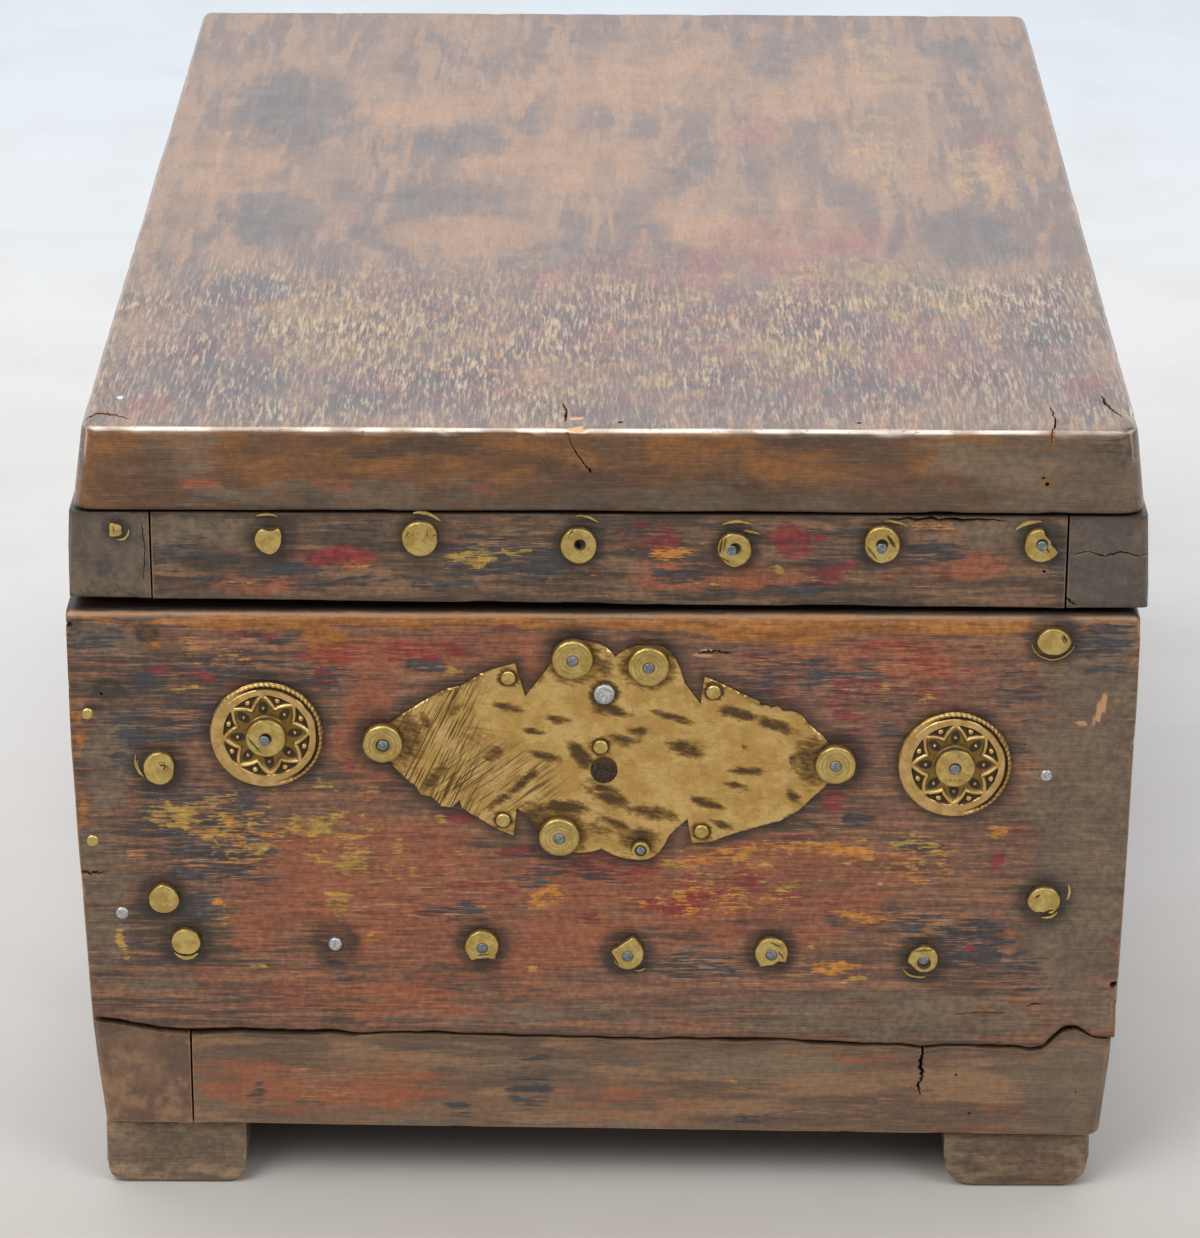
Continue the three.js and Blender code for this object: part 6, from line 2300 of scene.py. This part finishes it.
@dataclass
class Oddments:
    """Small loose pins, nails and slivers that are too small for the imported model."""

    brass: Material
    iron: Material

    # Name, finish is brass, x, z, radius in millimetres
    PINS = (
        ("edge_pin_upper", True, -122.7, 126.7, 1.5), ("edge_pin_lower", True, -122.7, 93.4, 1.55),
        ("loose_nail_left", False, -116.2, 74.2, 1.6), ("loose_nail_right", False, 106.1, 111.8, 1.5),
    )

    # The nail in the lid's top: its place, its radius and how deep it is sunk
    LID_NAIL = (-114.8, 24.6, 197.9)
    LID_NAIL_RADIUS = 1.2
    LID_NAIL_SINK = 0.2

    # Name, x, z, radius, start and end in degrees, greatest width, and whether it is on the lid
    CRESCENTS = (
        ("crescent_lid_2", -79.0, 171.8, 5.4, 62, 118, 0.5, True),
        ("crescent_lid_3", -43.0, 171.6, 6.2, 40, 108, 0.75, True),
        ("crescent_lid_4", -5.5, 171.0, 6.2, 45, 100, 0.5, True),
        ("crescent_lid_5", 31.5, 168.6, 7.4, 62, 122, 0.7, True),
        ("crescent_lid_5_lower", 33.0, 166.0, 7.6, 62, 92, 0.5, True),
        ("crescent_lid_6", 67.0, 168.6, 7.6, 55, 100, 0.6, True),
        ("crescent_lid_7", 101.5, 169.6, 6.6, 78, 140, 0.9, True),
        ("crescent_lid_1", -113.8, 172.9, 2.3, 250, 372, 0.5, True),
        ("crescent_lower_1", -100.9, 66.4, 4.0, 222, 318, 0.95, False),
        ("crescent_lower_4", 8.2, 64.5, 5.0, 268, 300, 0.35, False),
        ("crescent_lower_6", 77.2, 63.0, 4.9, 212, 290, 0.45, False),
        ("crescent_column_inner", -105.8, 114.2, 5.4, 172, 226, 0.4, False),
        ("crescent_column_outer", -105.4, 114.8, 6.3, 166, 222, 0.45, False),
        ("ring_column_right", 106.4, 147.4, 5.3, 195, 345, 0.3, False),
        ("sliver_right", 108.2, 81.3, 4.6, 330, 385, 0.6, False),
        ("crescent_column_right", 106.8, 78.6, 4.3, 262, 322, 0.6, False),
    )

    def build(self) -> None:
        """Makes them all."""
        pin = turned("oddment_master", [
            (0, -1), (0.5, -0.97), (0.8, -0.8), (0.97, -0.45), (1, 0.4), (0.9, 1.0), (0, 1.0)], 20)
        smooth(pin, 50)
        for index, (name, is_brass, x, z, radius) in enumerate(self.PINS):
            piece = copy_of(pin, name, PLACE.at(x, 0.25, z), index, (radius, 0.6, radius))
            dress(piece, self.brass if is_brass else self.iron, "body", "brass" if is_brass else "iron")
        head = copy_of(pin, "lid_corner_nail", PLACE.at(*self.LID_NAIL))
        self.lay_flat(head)
        dress(head, self.iron, "lid", "iron")
        bpy.data.objects.remove(pin)
        for name, x, z, radius, start, end, width, on_lid in self.CRESCENTS:
            self.crescent(name, x, z, radius, start, end, width, "lid" if on_lid else "body")

    def lay_flat(self, piece: Piece) -> None:
        """Turns the lid's nail, which looks forward, so that it looks up and lies in the wood."""
        local = points_of(piece) - np.array(self.LID_NAIL)
        wide = local * self.LID_NAIL_RADIUS
        turned_up = np.column_stack([wide[:, 0], wide[:, 2], -local[:, 1] * 0.5])
        move_points(piece, turned_up + self.LID_NAIL - np.array([0, 0, self.LID_NAIL_SINK]))
        mend_normals(piece)

    def crescent(self, name: str, x: float, z: float, radius: float, start: float, end: float,
                 width: float, body: str) -> None:
        """A thin curved paring of brass that an earlier stud left behind."""
        face = 2.0 if body == "lid" else 0.0
        piece = unit_strip(name, 24)
        points = points_of(piece)
        share = points[:, 0]
        angle = np.radians(start + (end - start) * share)
        thick = 0.1 + (width - 0.1) * np.sin(math.pi * share) ** 0.8
        ragged = 0.12 * noise_at(np.column_stack([share * 9, share * 0, share * 0]), 1.0, radius)
        far = radius + ragged + (points[:, 2] - 0.5) * thick
        out = np.where(points[:, 1] < 0.5, -0.3 * np.sin(math.pi * share) - 0.05, 0.3)
        moved = np.column_stack([x + far * np.cos(angle), face + out, z + far * np.sin(angle)])
        move_points(piece, moved)
        mend_normals(piece)
        smooth(piece, 40)
        dress(piece, self.brass, body, "brass")


# Camera and light

@dataclass
class Studio:
    """The camera, the pale floor and plain soft light."""

    lens: float = 142.57
    sensor: float = 36.0
    spot: Triple = (3.94, -1070.09, 591.99)
    yaw: float = -0.25
    pitch: float = 22.36
    roll: float = 0.18

    def build(self) -> None:
        """Makes the camera, the floor and the lights."""
        self.camera()
        self.floor()
        self.lights()
        self.world()
        bpy.context.scene.view_settings.view_transform = "Standard"

    def camera(self) -> None:
        """The camera where the photograph was taken from."""
        yaw, pitch, roll = (math.radians(a) for a in (self.yaw, self.pitch, self.roll))
        level = math.cos(pitch)
        forward = Vector((math.sin(yaw) * level, math.cos(yaw) * level, -math.sin(pitch)))
        right = Vector((math.cos(yaw), -math.sin(yaw), 0))
        up = right.cross(forward)
        tilted_right = right * math.cos(roll) + up * math.sin(roll)
        tilted_up = up * math.cos(roll) - right * math.sin(roll)
        data = bpy.data.cameras.new("camera")
        data.lens = self.lens
        data.sensor_width = self.sensor
        data.clip_start, data.clip_end = 0.05, 50
        camera = bpy.data.objects.new("camera", data)
        bpy.context.scene.collection.objects.link(camera)
        turn = Matrix((tilted_right, tilted_up, -forward)).transposed().to_4x4()
        camera.matrix_world = Matrix.Translation(PLACE.at(*self.spot)) @ turn
        bpy.context.scene.camera = camera

    def floor(self) -> None:
        """A wide pale floor, not part of the object."""
        deselect_all()
        bpy.ops.mesh.primitive_plane_add(size=16, location=(0, 2, 0))
        floor = bpy.context.active_object
        floor.name = "studio_floor"
        bpy.ops.object.transform_apply()
        floor.data.materials.append(PaleFloor().make())

    def lights(self) -> None:
        """Large soft lamps overhead, in front at both sides, and behind for the sheen on the lid."""
        lamps = (
            ("overhead", (-0.3, 0.3, 2.4), (2.6, 2.2), 28, "#F6F9FF"),
            ("edge_strip", (0.0, 0.1, 1.5), (1.6, 0.2), 7, "#FFFFFF"),
            ("front_left", (-1.35, -1.6, 2.1), (1.6, 1.6), 45, "#FFFDF8"),
            ("front_right", (1.6, -1.5, 1.7), (1.4, 1.4), 23, "#FFFFFF"),
            ("behind", (0.0, 2.6, 1.25), (3.2, 1.6), 14, "#F4F8FF"),
        )
        for name, spot, size, power, colour in lamps:
            data = bpy.data.lights.new(name, "AREA")
            data.shape = "RECTANGLE"
            data.size, data.size_y = size
            data.energy = power
            data.color = to_linear(colour)[:3]
            lamp = bpy.data.objects.new(name, data)
            bpy.context.scene.collection.objects.link(lamp)
            lamp.visible_camera = False
            lamp.location = spot
            aim = Vector((0, 0, 0.1)) - Vector(spot)
            lamp.rotation_euler = aim.to_track_quat("-Z", "Y").to_euler()

    def world(self) -> None:
        """A soft sky that is brighter above, and pale where the camera sees it."""
        world = bpy.data.worlds.new("studio")
        world.use_nodes = True
        tree = world.node_tree
        tree.nodes.clear()
        coords = add_node(tree, "ShaderNodeTexCoord").outputs["Generated"]
        up = add_node(tree, "ShaderNodeSeparateXYZ", {0: coords}).outputs["Z"]
        lift = add_node(tree, "ShaderNodeMapRange", {
            "Value": up, "From Min": -0.1, "From Max": 0.9, "To Min": 0.0, "To Max": 1.0}).outputs[0]
        sky = add_node(tree, "ShaderNodeMix", {0: lift, 6: to_linear("#8F8C88"), 7: to_linear("#FFFFFF")},
                       data_type="RGBA").outputs[2]
        path = add_node(tree, "ShaderNodeLightPath")
        lit = add_node(tree, "ShaderNodeBackground", {"Color": sky, "Strength": 0.62})
        seen = add_node(tree, "ShaderNodeBackground", {"Color": to_linear("#E9F0F7"), "Strength": 1.0})
        mixed = add_node(tree, "ShaderNodeMixShader", {
            0: path.outputs["Is Camera Ray"], 1: lit.outputs[0], 2: seen.outputs[0]})
        add_node(tree, "ShaderNodeOutputWorld", {"Surface": mixed.outputs[0]})
        bpy.context.scene.world = world


def main() -> None:
    """Builds the box piece by piece."""
    logging.basicConfig(level=logging.INFO, format="%(name)s: %(message)s")
    streaks = (BLUE_COAT, PEACH_COAT, RED_COAT, OCHRE_COAT, ORANGE_COAT)
    front_paint = AgedWood(
        "painted_front_wood", "#8C6148", "#6F4F3F", "#4E3D33", "#96704A", Grain.ACROSS,
        (BROWN_COAT, TERRACOTTA_COAT, AMBER_COAT, *streaks),
    ).make()
    side_paint = AgedWood(
        "painted_side_wood", "#8C6148", "#6F4F3F", "#4E3D33", "#96704A", Grain.DEEP,
        (BROWN_COAT, TERRACOTTA_COAT, BLUE_COAT, RED_COAT, OCHRE_COAT),
    ).make()
    lid_rail = AgedWood(
        "painted_lid_rail_wood", "#7E6048", "#644C3B", "#463930", "#8A6A48", Grain.ACROSS,
        (BROWN_COAT, TERRACOTTA_COAT, *streaks), pores=0.45, lift=0.16, figure=(30.0, 4.0), mottle=0.22,
    ).make()
    lid_side = AgedWood(
        "worn_lid_side_wood", "#70604F", "#5C5046", "#48403A", "#7E6856", Grain.DEEP,
        (BROWN_COAT, TOP_BLUE_COAT), rough=0.52, pores=0.25, lift=0.08, figure=(30.0, 6.0), mottle=0.12,
    ).make()
    # The near-white edge colour #FFF3E4 of the lid's top and of its front edge is a painted highlight on
    # the rubbed arris
    lid_top = AgedWood(
        "painted_top_wood", "#86664F", "#745A4A", "#5E4C45", "#FFF3E4", Grain.DEEP,
        (TAN_COAT, TOP_BLUE_COAT, TOP_RED_COAT, TOP_OCHRE_COAT), rough=0.42, wax=0.6, pores=0.25,
        lift=0.12, figure=(40.0, 5.0), mottle=0.12, ridges=True,
    ).make()
    top_edge = AgedWood(
        "worn_top_edge_wood", "#80542C", "#6B482D", "#4E392B", "#FFF3E4", Grain.ACROSS,
        (BROWN_COAT, TERRACOTTA_COAT, SMOKE_COAT), rough=0.44, pores=0.3, lift=0.12, figure=(24.0, 9.0),
        mottle=0.14,
    ).make()
    base_across = AgedWood(
        "worn_base_wood", "#8C6B4E", "#775C46", "#624D3D", "#94704E", Grain.ACROSS,
        (BROWN_COAT, TERRACOTTA_COAT, BLUE_COAT, PEACH_COAT, ORANGE_COAT), rough=0.58,
        pores=0.28, lift=0.1, figure=(36.0, 6.0), mottle=0.12,
    ).make()
    base_deep = AgedWood(
        "worn_base_end_wood", "#8A6A4E", "#765B46", "#60493A", "#94704E", Grain.DEEP, (BROWN_COAT,),
        rough=0.58, pores=0.2, lift=0.06, figure=(30.0, 9.0), mottle=0.1,
    ).make()
    foot_wood = AgedWood(
        "worn_foot_wood", "#8C745C", "#78624E", "#625140", "#8C745C", Grain.ACROSS, (SMOKE_COAT,),
        rough=0.6, pores=0.3, lift=0.1, figure=(24.0, 6.0), mottle=0.2,
    ).make()
    inner_wood = AgedWood(
        "bare_inner_wood", "#93704F", "#7D5C42", "#664832", "#93704F", Grain.DEEP, rough=0.72, wax=0.0,
    ).make()
    brass = PolishedBrass("worn_stud_brass").make()
    pressed = PolishedBrass("pressed_rosette_brass", "#DDBE84", "#C7A568", rough=0.4).make()
    sheet = SheetBrass().make()
    nail_iron = ForgedIron("nail_iron", "#9CA1A8", "#747A82", rusty=0.1, rough=0.45).make()
    bright_iron = ForgedIron("rubbed_nail_iron", "#D6D8DA", "#A6A9AD", rusty=0.05, rough=0.4).make()
    hinge_iron = ForgedIron("forged_hinge_iron", "#6A6C70", "#3C3C3E", rusty=0.6).make()
    plug_iron = ForgedIron("rusted_plug_iron", "#5C5248", "#3A332C", "#4A3424", 0.7, 0.8).make()
    # A near-black disc stands for the shade in an empty nail hole: painted shade
    hole_shade = ForgedIron("painted_nail_hole_shade", "#1E1B1A", "#141211", "#1C1714", rough=0.9).make()

    Carcass(front_paint, side_paint, inner_wood).build()
    BaseFrame(base_across, base_deep, foot_wood).build()
    Lid(lid_rail, lid_side, lid_top, top_edge).build()
    Studs(brass, nail_iron, hole_shade).build()
    Rosette(pressed).build()
    LockPlate(sheet, brass, bright_iron, plug_iron).build()
    Hinges(hinge_iron).build()
    Oddments(brass, bright_iron).build()
    Studio().build()


if __name__ == "__main__":
    main()
